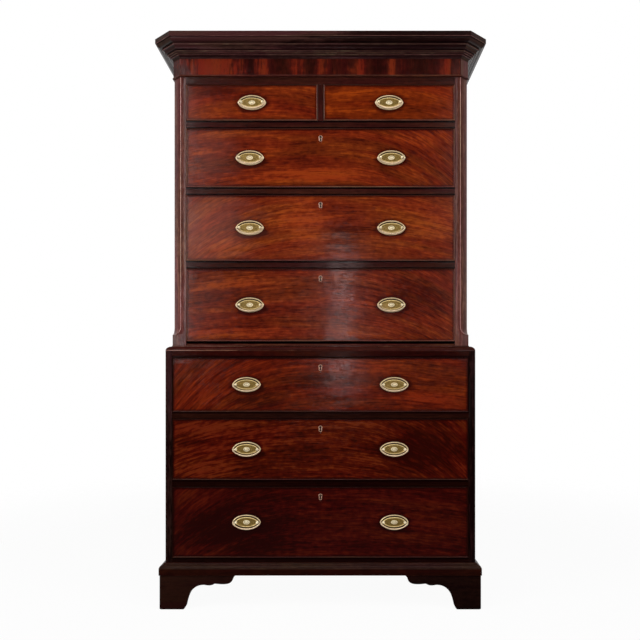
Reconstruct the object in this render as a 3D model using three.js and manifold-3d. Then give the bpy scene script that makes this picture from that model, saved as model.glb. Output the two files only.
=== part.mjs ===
// A chest on chest in mahogany, in millimetres, with +Z up and the drawer fronts facing -Y.
// The upper case has two short and three long drawers between canted corner posts, under a mitred cornice.
// The lower case has three long drawers and stands on scrolled bracket feet.

import * as THREE from 'three';
import { mergeVertices } from 'three/addons/utils/BufferGeometryUtils.js';
import Module from 'manifold-3d';

const wasm = await Module();
wasm.setup();

// Lower case
const lowerWidth = 1007;
const lowerDepth = 530;
const lowerSideThick = 21;
const lowerFacingDepth = 20;
const lowerDividerThick = 21;
const lowerBottomRailThick = 14.5;
const lowerBottomDrawerHeight = 229;
const lowerMiddleDrawerHeight = 198;
const lowerTopDrawerHeight = 175;

// Upper case
const upperSideInset = 18.5;
const upperSetback = 20;
const upperSideThick = 20;
const upperDividerThick = 24;
const upperBottomThick = 14;
const upperBottomRailRecess = 4;
const upperBottomDrawerHeight = 237.5;
const upperMiddleDrawerHeight = 214.5;
const upperTopDrawerHeight = 192;
const shortDrawerHeight = 117;
const muntinWidth = 18;
const postWidth = 44;
const postDepth = 44;
const cantLeg = 26;
const tongueHeight = 26;
const tongueBlockHeight = 36;

// Inside both cases
const railDepth = 60;
const runnerThick = 16;
const guideHeight = 18;
const backThick = 12;
const backGroove = 1.5;
const backBoardWidth = 160;
const stopHeight = 5;
const stopDepth = 18;
const stopWidth = 30;

// Frieze, necking bead and cornice
const friezeThick = 20;
const friezeHeight = 55.5;
const friezeProud = 3;
const neckBeadHeight = 10.5;
const neckBeadProud = 6;
const corniceHeight = 70;
const corniceProjection = 58;
const topBoardThick = 12;
const topBoardSink = 12;
const neckBoardThick = 15;

// Waist moulding, with the top board of the lower case
const waistHeight = 17;
const waistRun = 17;
const waistFillet = 2.5;
const waistBand = 60;

// Base moulding and bracket feet
const footHeight = 110;
const footSpan = 245;
const footSideSpan = 205;
const footRearSpan = 150;
const footPad = 80;
const footThick = 22;
const footProjection = 15.5;
const footCorner = 5;
const footBlock = 34;
const footBlockDrop = 8;
const baseHeight = 38.5;
const baseFascia = 20;
const baseProjection = 18;
const baseInset = 45;

// Drawers
const frontThick = 20;
const frontLap = 5;
const beadWidth = 2.6;
const beadProud = 2;
const drawerSideThick = 11;
const drawerSideDrop = 3;
const drawerBackThick = 11;
const drawerBackDrop = 8;
const drawerBottomThick = 7;
const drawerBottomLift = 10;
const drawerBehind = 20;
const tailPitch = 45;
const tailSlope = 6;
const tailShare = 0.36;

// Keyholes
const keyholeDrop = 29;
const keyholeRadius = 6.8;
const keyholeSlotHalf = 3.7;
const keyholeLength = 18.7;

// Handles
const plateHalfWidth = 47.5;
const plateHalfHeight = 24;
const plateRise = 4;
const postSpread = 35;
const postNeckRadius = 2.2;
const postBallRadius = 4.3;
const postReach = 9.5;
const bailPinRadius = 1.3;
const bailEndRadius = 1.8;
const bailMiddleRadius = 2.4;
const bailBend = 3.2;
const bailDrop = 21;
const bailPinLength = 2.5;
const upperHandleSpread = 232;
const lowerHandleSpread = 240;

// Clearances
const frontBelow = 1;
const frontAbove = 1.5;
const frontSide = 1.5;
const slideGap = 0.3;
const jointGap = 0.2;
const pinGap = 0.3;
const bailGap = 0.5;

// How far a joined piece bites into its neighbour, and how far a cut passes what it cuts
const bite = 6;
const overrun = 5;

// Facets of round work
const arcSteps = 4;
const plateSteps = 7;
const ballSides = 8;
const ballSteps = 3;
const eyeSides = 6;
const wireSides = 6;
const bendSteps = 3;
const bowSteps = 5;

// Shares, as [outward, upward], of the cornice's projection and height, from the frieze to the top
const corniceCoveShares = { from: [0.07, 0.08], to: [0.29, 0.3] };
const corniceFilletShares = [[0.29, 0.34], [0.35, 0.34], [0.35, 0.38], [0.41, 0.38]];
const corniceBandShares = [[0.58, 0.38], [0.58, 0.52], [0.64, 0.52], [0.64, 0.58]];
const corniceOvoloShares = { from: [0.72, 0.58], to: [0.92, 0.74] };
const corniceFasciaShares = [[1, 0.74], [1, 0.97], [0.975, 1]];

// Shares of the base moulding: an ovolo over the fascia, then a fillet and a small cove up to the case
const baseOvoloShares = { run: 0.5, rise: 0.6 };
const baseFilletShare = 0.12;
const baseCoveShare = 0.35;

// Shares, as [inward, upward], of a bracket's span beyond its pad and of its height
const bracketKneeShares = { low: [0.03, 0.1], pull: [[0.07, 0.4], [0.14, 0.71]], top: [0.37, 0.72] };
const bracketLobeShares = { pull: [[0.42, 0.725], [0.5, 0.66]], end: [0.595, 0.755] };
const bracketTailShares = { pull: [[0.8, 0.72], [0.94, 0.72]], end: [0.955, 0.93] };
const plainBracketShares = [[0.12, 0.35], [0.45, 0.72], [0.9, 0.86]];

// Shares of the plate's half width, half height and rise, from its back edge to its central boss
const plateRingShares = [
  [1, 1, 0],
  [1, 1, 0.28],
  [0.94, 0.91, 0.6],
  [0.87, 0.8, 0.3],
  [0.66, 0.5, 0.38],
  [0.6, 0.42, 0.66],
  [0.24, 0.26, 1],
];

// Materials
const mahogany = new THREE.MeshStandardMaterial({ color: 0x3a1613, roughness: 0.35, metalness: 0 });
const mahoganyFront = new THREE.MeshStandardMaterial({ color: 0x6e2410, roughness: 0.3, metalness: 0 });
const mahoganyDark = new THREE.MeshStandardMaterial({ color: 0x24100e, roughness: 0.35, metalness: 0 });
const oak = new THREE.MeshStandardMaterial({ color: 0x9a7648, roughness: 0.7, metalness: 0 });
const pine = new THREE.MeshStandardMaterial({ color: 0x7d5c3a, roughness: 0.8, metalness: 0 });
const brass = new THREE.MeshStandardMaterial({ color: 0xb79a5c, roughness: 0.35, metalness: 1 });

// Main planes, with the origin at the middle of the box that holds the whole chest, on the floor
const overallDepth = lowerDepth - upperSetback + corniceProjection;
const backY = overallDepth / 2;
const boardY = backY - backThick;
const lowerFront = backY - lowerDepth;
const upperFront = lowerFront + upperSetback;
const lowerHalf = lowerWidth / 2;
const lowerOpenHalf = lowerHalf - lowerSideThick;
const upperHalf = lowerHalf - upperSideInset;
const upperInner = upperHalf - upperSideThick;
const upperOpenHalf = upperHalf - postWidth;
const runnerReach = drawerSideThick + frontSide - jointGap;

// The rows of one case, from the bottom: each drawer's seat, its opening's top and the divider above
function stackRows(floor, heights, dividerThick) {
  let seat = floor;
  return heights.map((height) => {
    const row = { seat, height, openTop: seat + frontBelow + height + frontAbove };
    row.railTop = row.openTop + dividerThick;
    seat = row.railTop;
    return row;
  });
}

const baseTop = footHeight + baseHeight;
const lowerFloor = baseTop + lowerBottomRailThick;
const lowerHeights = [lowerBottomDrawerHeight, lowerMiddleDrawerHeight, lowerTopDrawerHeight];
const lowerRows = stackRows(lowerFloor, lowerHeights, lowerDividerThick);
const waistZ = lowerRows[lowerRows.length - 1].railTop;
const waistTop = waistZ + waistHeight;
const upperFloor = waistTop + upperBottomThick;
const upperHeights = [upperBottomDrawerHeight, upperMiddleDrawerHeight, upperTopDrawerHeight, shortDrawerHeight];
const upperRows = stackRows(upperFloor, upperHeights, upperDividerThick);
const shortRow = upperRows[upperRows.length - 1];
const neckZ = shortRow.railTop;
const friezeTop = neckZ + friezeHeight;
const corniceTop = friezeTop + corniceHeight;
const topBoardHigh = corniceTop - topBoardSink;
const topBoardLow = topBoardHigh - topBoardThick;

// A closed geometry as a solid, with its shared vertices merged, empty triangles dropped and faces outward
function solid(geometry) {
  geometry.deleteAttribute('normal');
  geometry.deleteAttribute('uv');
  const merged = mergeVertices(geometry);
  const places = merged.attributes.position;
  const corners = [new THREE.Vector3(), new THREE.Vector3(), new THREE.Vector3()];
  const triangles = [];
  let volume = 0;
  for (let i = 0; i < merged.index.count; i += 3) {
    const [a, b, c] = [0, 1, 2].map((step) => merged.index.getX(i + step));
    if (a !== b && b !== c && c !== a) {
      triangles.push(a, b, c);
      [a, b, c].forEach((index, corner) => corners[corner].fromBufferAttribute(places, index));
      volume += corners[0].dot(corners[1].cross(corners[2]));
    }
  }
  const triVerts = Uint32Array.from(volume > 0 ? triangles : triangles.reverse());
  return new wasm.Manifold(new wasm.Mesh({ numProp: 3, vertProperties: places.array, triVerts }));
}

function joined(bodies) {
  return bodies.reduce((whole, body) => whole.add(body));
}

// A block between two corners, each [x, y, z]
function block(low, high) {
  const geometry = new THREE.BoxGeometry(1, 1, 1);
  const places = geometry.attributes.position;
  for (let i = 0; i < places.count; i += 1) {
    const at = [places.getX(i), places.getY(i), places.getZ(i)];
    const corner = at.map((value, axis) => (value < 0 ? low[axis] : high[axis]));
    places.setXYZ(i, corner[0], corner[1], corner[2]);
  }
  return solid(geometry);
}

// A block given for the right half, put on the side of the centre line that side says, -1 or 1
function sideBlock(side, low, high) {
  if (side > 0) {
    return block(low, high);
  }
  return block([-high[0], low[1], low[2]], [-low[0], high[1], high[2]]);
}

// An outline drawn in the plane square to an axis, (y, z), (x, z) or (x, y), and filled from low to high
function prism(outline, axis, low, high, curveSegments = arcSteps) {
  const geometry = new THREE.ExtrudeGeometry(outline, { depth: 1, bevelEnabled: false, curveSegments });
  const places = geometry.attributes.position;
  for (let i = 0; i < places.count; i += 1) {
    const [u, v, far] = [places.getX(i), places.getY(i), places.getZ(i) > 0.5];
    const along = far ? high : low;
    const place = { x: [along, u, v], y: [u, along, v], z: [u, v, along] }[axis];
    places.setXYZ(i, place[0], place[1], place[2]);
  }
  return solid(geometry);
}

function shapeOf(points) {
  return new THREE.Shape(points.map(([u, v]) => new THREE.Vector2(u, v)));
}

// A closed skin over rings of equal count, whose two ends are closed by the triangles of one flat outline
function skin(rings, outline) {
  const count = outline.length;
  const positions = rings.flat(2);
  const index = [];
  for (let ring = 0; ring + 1 < rings.length; ring += 1) {
    for (let i = 0; i < count; i += 1) {
      const next = (i + 1) % count;
      const [a, b] = [ring * count + i, ring * count + next];
      index.push(b, a, a + count, b, a + count, b + count);
    }
  }
  const last = (rings.length - 1) * count;
  const flat = outline.map(([u, v]) => new THREE.Vector2(u, v));
  const clockwise = THREE.ShapeUtils.isClockWise(flat);
  for (const triangle of THREE.ShapeUtils.triangulateShape(flat, [])) {
    const [a, b, c] = clockwise ? triangle.reverse() : triangle;
    index.push(a, b, c, last + c, last + b, last + a);
  }
  const geometry = new THREE.BufferGeometry();
  geometry.setAttribute('position', new THREE.Float32BufferAttribute(positions, 3));
  geometry.setIndex(index);
  return solid(geometry);
}

// Points of an elliptical arc between two corners, bulging by the sign: 1 is an ovolo and -1 a cove
function quarter(from, to, bulge) {
  const points = [];
  for (let i = 0; i <= arcSteps; i += 1) {
    const turn = (i / arcSteps) * (Math.PI / 2);
    const out = bulge > 0 ? Math.sin(turn) : 1 - Math.cos(turn);
    const up = bulge > 0 ? 1 - Math.cos(turn) : Math.sin(turn);
    points.push([from[0] + (to[0] - from[0]) * out, from[1] + (to[1] - from[1]) * up]);
  }
  return points;
}

// The plan of a case's face, from the back left corner round the front to the back right one
function casePlan(half, front, cant) {
  const right = cant > 0 ? [[half - cant, front], [half, front + cant]] : [[half, front]];
  const round = [...right, [half, backY]];
  return [...round.map(([x, y]) => [-x, y]).reverse(), ...round];
}

// For each point of a plan, the step that moves it outward by one while both neighbouring faces stay parallel
function mitreSteps(plan) {
  const normals = plan.slice(1).map(([x, y], i) => {
    const length = Math.hypot(x - plan[i][0], y - plan[i][1]);
    return [(y - plan[i][1]) / length, -(x - plan[i][0]) / length];
  });
  return plan.map((point, i) => {
    const before = normals[Math.max(i - 1, 0)];
    const after = normals[Math.min(i, normals.length - 1)];
    const scale = 1 + before[0] * after[0] + before[1] * after[1];
    return [(before[0] + after[0]) / scale, (before[1] + after[1]) / scale];
  });
}

// A moulding: a closed profile of [out, up] points run round a plan, mitred at each corner
function mitredRun(profile, plan) {
  const steps = mitreSteps(plan);
  const rings = plan.map(([x, y], i) => profile.map(([out, up]) => [x + steps[i][0] * out, y + steps[i][1] * out, up]));
  return skin(rings, profile);
}

// A flat board inside a plan, drawn in from it by an inset, with its back edge at rearY
function planBoard(plan, inset, rearY, low, high) {
  const steps = mitreSteps(plan);
  const points = plan.map(([x, y], i) => [x - steps[i][0] * inset, y - steps[i][1] * inset]);
  points[0][1] = rearY;
  points[points.length - 1][1] = rearY;
  return prism(shapeOf(points), 'z', low, high);
}

function piece(name, body, material) {
  const { vertProperties, triVerts } = body.getMesh();
  const geometry = new THREE.BufferGeometry();
  geometry.setAttribute('position', new THREE.BufferAttribute(vertProperties, 3));
  geometry.setIndex(new THREE.BufferAttribute(triVerts, 1));
  geometry.computeVertexNormals();
  const mesh = new THREE.Mesh(geometry, material);
  mesh.name = name;
  return mesh;
}

// Cornice, frieze and necking bead, one mitred box over the upper case, open at its back
function cornice() {
  const at = ([out, up]) => [corniceProjection * out, friezeTop + corniceHeight * up];
  const beadTop = neckZ + neckBeadHeight;
  const beadMiddle = neckZ + neckBeadHeight / 2;
  const profile = [
    [-friezeThick, neckZ],
    ...quarter([0, neckZ], [neckBeadProud, beadMiddle], 1),
    ...quarter([friezeProud, beadTop], [neckBeadProud, beadMiddle], 1).reverse().slice(1),
    [friezeProud, friezeTop],
    ...quarter(at(corniceCoveShares.from), at(corniceCoveShares.to), -1),
    ...corniceFilletShares.map(at),
    ...corniceBandShares.map(at),
    ...quarter(at(corniceOvoloShares.from), at(corniceOvoloShares.to), 1),
    ...corniceFasciaShares.map(at),
    [-friezeThick, corniceTop],
  ];
  const plan = casePlan(upperHalf, upperFront, cantLeg);
  return joined([
    mitredRun(profile, plan),
    planBoard(plan, friezeThick - bite, boardY, neckZ, neckZ + neckBoardThick),
    planBoard(plan, friezeThick - bite, backY, topBoardLow, topBoardHigh),
  ]);
}

// The cut that cants a corner post, ending below in a lamb's tongue: a quarter ellipse that runs out at the arris
function cantCut(side) {
  const depth = cantLeg * Math.SQRT1_2;
  const tongueTop = waistTop + tongueBlockHeight + tongueHeight;
  const outline = new THREE.Shape();
  outline.moveTo(depth, neckZ + overrun);
  outline.lineTo(-overrun, neckZ + overrun);
  outline.lineTo(-overrun, tongueTop - tongueHeight);
  outline.lineTo(0, tongueTop - tongueHeight);
  outline.absellipse(0, tongueTop, depth, tongueHeight, -Math.PI / 2, 0, false);
  return prism(outline, 'x', -cantLeg, cantLeg, arcSteps * 2)
    .rotate([0, 0, THREE.MathUtils.radToDeg((side * Math.PI) / 4)])
    .translate([side * upperHalf, upperFront, 0]);
}

// Two small blocks on a rail that stop a drawer front flush with the case
function drawerStops(front, seat, spread) {
  const stopFront = front + frontThick + slideGap;
  return [-spread, spread].map((x) => block(
    [x - stopWidth / 2, stopFront, seat - bite],
    [x + stopWidth / 2, stopFront + stopDepth, seat + stopHeight],
  ));
}

// A rail across a case, tenoned at its front into the uprights on both sides
function rail(openHalf, front, tenonDepth, low, high) {
  const right = [
    [openHalf, front + railDepth],
    [openHalf, front + tenonDepth],
    [openHalf + bite, front + tenonDepth],
    [openHalf + bite, front],
  ];
  const left = right.map(([x, y]) => [-x, y]).reverse();
  return prism(shapeOf([...right, ...left]), 'z', low, high);
}

// Corner posts, rails, muntin and centre runner of the upper case
function upperFrame() {
  const posts = [-1, 1].map((side) => sideBlock(
    side,
    [upperOpenHalf, upperFront, waistTop],
    [upperHalf, upperFront + postDepth, neckZ],
  ).subtract(cantCut(side)));
  const tenonDepth = postDepth - bite;
  const rails = upperRows.map((row) => rail(upperOpenHalf, upperFront, tenonDepth, row.openTop, row.railTop));
  const bottomRail = rail(upperOpenHalf, upperFront, tenonDepth, waistTop, upperFloor);
  const recess = block(
    [-upperOpenHalf, upperFront - overrun, waistTop - overrun],
    [upperOpenHalf, upperFront + upperBottomRailRecess, upperFloor],
  );
  const backOfRail = upperFront + railDepth;
  const muntin = block(
    [-muntinWidth / 2, upperFront, shortRow.seat - bite],
    [muntinWidth / 2, backOfRail, shortRow.openTop + bite],
  );
  const runnerHalf = muntinWidth / 2 + runnerReach;
  const centreRunner = block(
    [-runnerHalf, backOfRail - bite, shortRow.seat - runnerThick],
    [runnerHalf, boardY, shortRow.seat],
  );
  const centreGuide = block(
    [-muntinWidth / 2, backOfRail - bite, shortRow.seat - bite],
    [muntinWidth / 2, boardY, shortRow.seat + guideHeight],
  );
  const stops = upperRows.flatMap((row) => drawerStops(upperFront, row.seat, upperHandleSpread));
  return joined([
    ...posts,
    bottomRail.subtract(recess),
    ...rails,
    muntin,
    centreRunner,
    centreGuide,
    ...stops,
  ]);
}

// A side of the upper case, with the runners under its drawers and the guides beside them
function upperSide(side) {
  const board = sideBlock(side, [upperInner, upperFront + postDepth, waistTop], [upperHalf, backY, neckZ]);
  const guides = upperRows.map((row) => sideBlock(
    side,
    [upperOpenHalf, upperFront + postDepth, row.seat],
    [upperInner + bite, boardY, row.seat + guideHeight],
  ));
  const runners = upperRows.slice(1).map((row) => sideBlock(
    side,
    [upperOpenHalf - runnerReach, upperFront + railDepth, row.seat - runnerThick],
    [upperInner + bite, boardY, row.seat],
  ));
  return joined([board, ...guides, ...runners]);
}

function upperBottom() {
  return block([-upperInner, upperFront + railDepth, waistTop], [upperInner, boardY, upperFloor]);
}

// Upright back boards with a small V at each joint
function backBoards(half, low, high) {
  const count = Math.round((2 * half) / backBoardWidth);
  const points = [[-half, boardY], [half, boardY], [half, backY]];
  for (let i = count - 1; i > 0; i -= 1) {
    const x = -half + (2 * half * i) / count;
    points.push([x + backGroove, backY], [x, backY - backGroove], [x - backGroove, backY]);
  }
  points.push([-half, backY]);
  return prism(shapeOf(points), 'z', low, high);
}

// The lower case's top board, with its rounded waist moulding mitred round the front and the sides
function waist() {
  const profile = [
    [-waistBand, waistZ],
    ...quarter([-waistRun, waistTop - waistFillet], [0, waistZ], 1).reverse(),
    [-waistRun, waistTop],
    [-waistBand, waistTop],
  ];
  const plan = casePlan(lowerHalf, lowerFront, 0);
  return joined([
    mitredRun(profile, plan),
    planBoard(plan, waistBand - bite, backY, waistZ, waistTop),
  ]);
}

// Facing strips and rails of the lower case
function lowerFrame() {
  const strips = [-1, 1].map((side) => sideBlock(
    side,
    [lowerOpenHalf, lowerFront, baseTop],
    [lowerHalf, lowerFront + lowerFacingDepth, waistZ],
  ));
  const levels = [[baseTop, lowerFloor], ...lowerRows.map((row) => [row.openTop, row.railTop])];
  const rails = levels.map(([low, high]) => rail(lowerOpenHalf, lowerFront, lowerFacingDepth, low, high));
  const stops = lowerRows.flatMap((row) => drawerStops(lowerFront, row.seat, lowerHandleSpread));
  return joined([...strips, ...rails, ...stops]);
}

// A side of the lower case, with its runners
function lowerSide(side) {
  const board = sideBlock(side, [lowerOpenHalf, lowerFront + lowerFacingDepth, baseTop], [lowerHalf, backY, waistZ]);
  const runners = lowerRows.slice(1).map((row) => sideBlock(
    side,
    [lowerOpenHalf - runnerReach, lowerFront + railDepth, row.seat - runnerThick],
    [lowerOpenHalf + bite, boardY, row.seat],
  ));
  return joined([board, ...runners]);
}

// The mitred base moulding, closed behind by a rail, with the lower case's bottom board bedded in it
function base() {
  const fasciaTop = footHeight + baseFascia;
  const rest = baseTop - fasciaTop;
  const ovoloOut = baseProjection * (1 - baseOvoloShares.run);
  const ovoloTop = fasciaTop + rest * baseOvoloShares.rise;
  const filletTop = ovoloTop + rest * baseFilletShare;
  const profile = [
    [-baseInset, footHeight],
    [baseProjection, footHeight],
    ...quarter([ovoloOut, ovoloTop], [baseProjection, fasciaTop], 1).reverse(),
    [ovoloOut, filletTop],
    ...quarter([ovoloOut * (1 - baseCoveShare), filletTop], [0, baseTop], -1),
    [-baseInset, baseTop],
  ];
  const plan = casePlan(lowerHalf, lowerFront, 0);
  const railHalf = lowerHalf - baseInset + bite;
  const rail = block([-railHalf, backY - baseInset, footHeight], [railHalf, backY, baseTop]);
  const bottom = block(
    [-lowerOpenHalf, lowerFront + railDepth, baseTop - bite],
    [lowerOpenHalf, boardY, lowerFloor],
  );
  return joined([mitredRun(profile, plan), rail, bottom]);
}

// The outline of a scrolled bracket, from its outer corner inward and from the floor up
function bracketOutline(span) {
  const at = ([inward, up]) => [footPad + (span - footPad) * inward, footHeight * up];
  const curve = (outline, pulls, end) => outline.bezierCurveTo(...at(pulls[0]), ...at(pulls[1]), ...at(end));
  const outline = new THREE.Shape();
  outline.moveTo(0, footHeight);
  outline.lineTo(0, footCorner);
  outline.quadraticCurveTo(0, 0, footCorner, 0);
  outline.lineTo(footPad - footCorner, 0);
  outline.quadraticCurveTo(footPad, 0, ...at(bracketKneeShares.low));
  curve(outline, bracketKneeShares.pull, bracketKneeShares.top);
  curve(outline, bracketLobeShares.pull, bracketLobeShares.end);
  curve(outline, bracketTailShares.pull, bracketTailShares.end);
  outline.lineTo(span, footHeight);
  return outline;
}

// The plain bracket at the back of a rear foot
function plainBracketOutline(span) {
  const slope = plainBracketShares.map(([inward, up]) => [footPad + (span - footPad) * inward, footHeight * up]);
  return shapeOf([[0, footHeight], [0, 0], [footPad, 0], ...slope, [span, footHeight]]);
}

// A bracket foot: two brackets that meet at the corner, with a glue block behind them
function foot(side, isFront) {
  const outerX = lowerHalf + footProjection;
  const outerY = isFront ? lowerFront - footProjection : backY;
  const inward = isFront ? 1 : -1;
  const face = isFront ? bracketOutline(footSpan) : plainBracketOutline(footRearSpan);
  const faceY = [outerY, outerY + inward * footThick].sort((a, b) => a - b);
  const sideX = [side * outerX, side * (outerX - footThick)].sort((a, b) => a - b);
  const faceBracket = prism(face, 'y', 0, 1)
    .scale([-side, faceY[1] - faceY[0], 1])
    .translate([side * outerX, faceY[0], 0]);
  const sideBracket = prism(bracketOutline(footSideSpan), 'x', 0, 1)
    .scale([sideX[1] - sideX[0], inward, 1])
    .translate([sideX[0], outerY, 0]);
  const blockLow = footThick - bite;
  const blockHigh = footThick + footBlock;
  const blockY = [outerY + inward * blockLow, outerY + inward * blockHigh].sort((a, b) => a - b);
  const glueBlock = sideBlock(
    side,
    [outerX - blockHigh, blockY[0], footBlockDrop],
    [outerX - blockLow, blockY[1], footHeight],
  );
  return joined([faceBracket, sideBracket, glueBlock]);
}

// The tails of a drawer side, as [z low, z high] at the root and at the tip
function tailsOf(drawer) {
  const low = frontBelow;
  const high = frontBelow + drawer.height - drawerSideDrop;
  const count = Math.max(Math.round(drawer.height / tailPitch), 2);
  const pitch = (high - low) / count;
  const flare = (frontThick - frontLap) / tailSlope;
  return Array.from({ length: count }, (_, i) => {
    const middle = low + (i + 0.5) * pitch;
    const tip = pitch * tailShare;
    return { root: [middle - tip + flare, middle + tip - flare], tip: [middle - tip, middle + tip] };
  });
}

function drawerFront(drawer) {
  const half = drawer.width / 2;
  const top = frontBelow + drawer.height;
  const slab = block([-half, -beadProud, frontBelow], [half, frontThick, top]);
  const field = block(
    [-half + beadWidth, -beadProud - overrun, frontBelow + beadWidth],
    [half - beadWidth, 0, top - beadWidth],
  );
  const sockets = [-1, 1].flatMap((side) => tailsOf(drawer).map(({ root, tip }) => {
    const outline = shapeOf([
      [frontLap, tip[0] - jointGap],
      [frontThick, root[0] - jointGap],
      [frontThick + overrun, root[0] - jointGap],
      [frontThick + overrun, root[1] + jointGap],
      [frontThick, root[1] + jointGap],
      [frontLap, tip[1] + jointGap],
    ]);
    const inner = half - drawerSideThick - jointGap;
    const reach = [side * inner, side * (half + overrun)].sort((a, b) => a - b);
    return prism(outline, 'x', reach[0], reach[1]);
  }));
  const cuts = [field, ...sockets];
  if (drawer.keyhole) {
    cuts.push(prism(keyholeOutline(top - keyholeDrop), 'y', -overrun, frontThick + overrun, arcSteps * 2));
  }
  return slab.subtract(joined(cuts));
}

function keyholeOutline(z) {
  const open = Math.asin(keyholeSlotHalf / keyholeRadius);
  const outline = new THREE.Shape();
  outline.absarc(0, z, keyholeRadius, -Math.PI / 2 + open, (Math.PI * 3) / 2 - open, false);
  outline.lineTo(-keyholeSlotHalf, z - keyholeLength);
  outline.lineTo(keyholeSlotHalf, z - keyholeLength);
  return outline;
}

// A drawer's oak box: two sides with tails at the front, a back, and a bottom housed in the sides
function drawerBox(drawer) {
  const half = drawer.width / 2;
  const top = frontBelow + drawer.height - drawerSideDrop;
  const front = frontThick + jointGap;
  const tails = tailsOf(drawer).flatMap(({ root, tip }) => [
    [front, root[0]],
    [frontLap + jointGap, tip[0]],
    [frontLap + jointGap, tip[1]],
    [front, root[1]],
  ]);
  const outline = shapeOf([
    [front, slideGap],
    ...tails,
    [front, top],
    [drawer.length, top],
    [drawer.length, slideGap],
  ]);
  const sides = [-1, 1].map((side) => {
    const reach = [side * (half - drawerSideThick), side * half].sort((a, b) => a - b);
    return prism(outline, 'x', reach[0], reach[1]);
  });
  const housed = half - drawerSideThick / 2;
  const bottom = block(
    [-housed, front, drawerBottomLift],
    [housed, drawer.length - jointGap, drawerBottomLift + drawerBottomThick],
  );
  const back = block(
    [-housed, drawer.length - drawerBackThick, drawerBottomLift],
    [housed, drawer.length - jointGap, top - drawerBackDrop],
  );
  return joined([...sides, bottom, back]);
}

// A pointed oval of two arcs that meet at the tips, drawn on the unit square
function pointedOval() {
  const ratio = plateHalfHeight / plateHalfWidth;
  const sweep = 2 * Math.atan(ratio);
  const points = [];
  for (let i = -plateSteps; i < plateSteps; i += 1) {
    const turn = -sweep + (2 * sweep * (i < 0 ? i + plateSteps : i)) / plateSteps;
    const x = Math.sin(turn) / Math.sin(sweep);
    const z = (Math.cos(turn) - Math.cos(sweep)) / (1 - Math.cos(sweep));
    points.push(i < 0 ? [x, z] : [-x, -z]);
  }
  return points;
}

// A stamped brass plate with its raised rim, inner navette and boss, and the two ball-headed posts
function plate() {
  const oval = pointedOval();
  const rings = plateRingShares.map(([wide, high, rise]) => oval.map(([x, z]) => [
    x * wide * plateHalfWidth,
    -rise * plateRise,
    z * high * plateHalfHeight,
  ]));
  const neckEnd = postReach - Math.sqrt(postBallRadius ** 2 - postNeckRadius ** 2);
  const ball = [];
  for (let i = 1; i <= ballSteps; i += 1) {
    const start = Math.asin(postNeckRadius / postBallRadius);
    const turn = start + ((Math.PI - start) * i) / ballSteps;
    ball.push([postBallRadius * Math.sin(turn), postReach - postBallRadius * Math.cos(turn)]);
  }
  ball[ball.length - 1][0] = 0;
  const root = (plateRise * plateRingShares[1][2]) / 2;
  const profile = [[0, root], [postNeckRadius, root], [postNeckRadius, neckEnd], ...ball];
  const lathe = new THREE.LatheGeometry(profile.map(([r, h]) => new THREE.Vector2(r, h)), ballSides);
  lathe.rotateX(Math.PI);
  const post = solid(lathe);
  const holeRadius = (bailPinRadius + pinGap) / Math.cos(Math.PI / eyeSides);
  const hole = shapeOf(Array.from({ length: eyeSides }, (_, i) => {
    const turn = (i * 2 * Math.PI) / eyeSides;
    return [-postReach + holeRadius * Math.cos(turn), holeRadius * Math.sin(turn)];
  }));
  const eyes = [-1, 1].map((side) => {
    const middle = side * postSpread;
    return post
      .translate([middle, 0, 0])
      .subtract(prism(hole, 'x', middle - postBallRadius - overrun, middle + postBallRadius + overrun));
  });
  return joined([skin(rings, oval), ...eyes]);
}

// A bail as a tapered wire: a pin in each eye, a tight bend, and a bow that swells to its middle
function bail() {
  const shoulder = postSpread + postBallRadius + bailGap;
  const half = 2 * Math.atan((bailDrop - 2 * bailBend) / shoulder);
  const bowRadius = shoulder / Math.sin(half) + bailBend;
  const bowCentre = bowRadius - bailDrop;
  const stations = [
    { x: postSpread - bailPinLength, z: 0, turn: 0, radius: bailPinRadius },
    { x: shoulder, z: 0, turn: 0, radius: bailPinRadius },
  ];
  for (let i = 0; i < bendSteps; i += 1) {
    const turn = ((Math.PI - half) * i) / bendSteps;
    stations.push({
      x: shoulder + bailBend * Math.sin(turn),
      z: bailBend * (Math.cos(turn) - 1),
      turn,
      radius: bailEndRadius,
    });
  }
  for (let i = 0; i <= bowSteps; i += 1) {
    const turn = half - (half * i) / bowSteps;
    stations.push({
      x: bowRadius * Math.sin(turn),
      z: bowCentre - bowRadius * Math.cos(turn),
      turn: Math.PI - turn,
      radius: bailEndRadius + ((bailMiddleRadius - bailEndRadius) * i) / bowSteps,
    });
  }
  const mirrored = stations.slice(0, -1).reverse().map((station) => ({
    ...station,
    x: -station.x,
    turn: 2 * Math.PI - station.turn,
  }));
  const circle = Array.from({ length: wireSides }, (_, i) => {
    const turn = (2 * Math.PI * i) / wireSides;
    return [Math.cos(turn), Math.sin(turn)];
  });
  const rings = [...stations, ...mirrored].map(({ x, z, turn, radius }) => circle.map(([across, out]) => [
    x + radius * across * Math.sin(turn),
    radius * out,
    z + radius * across * Math.cos(turn),
  ]));
  return skin(rings, circle);
}

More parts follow.
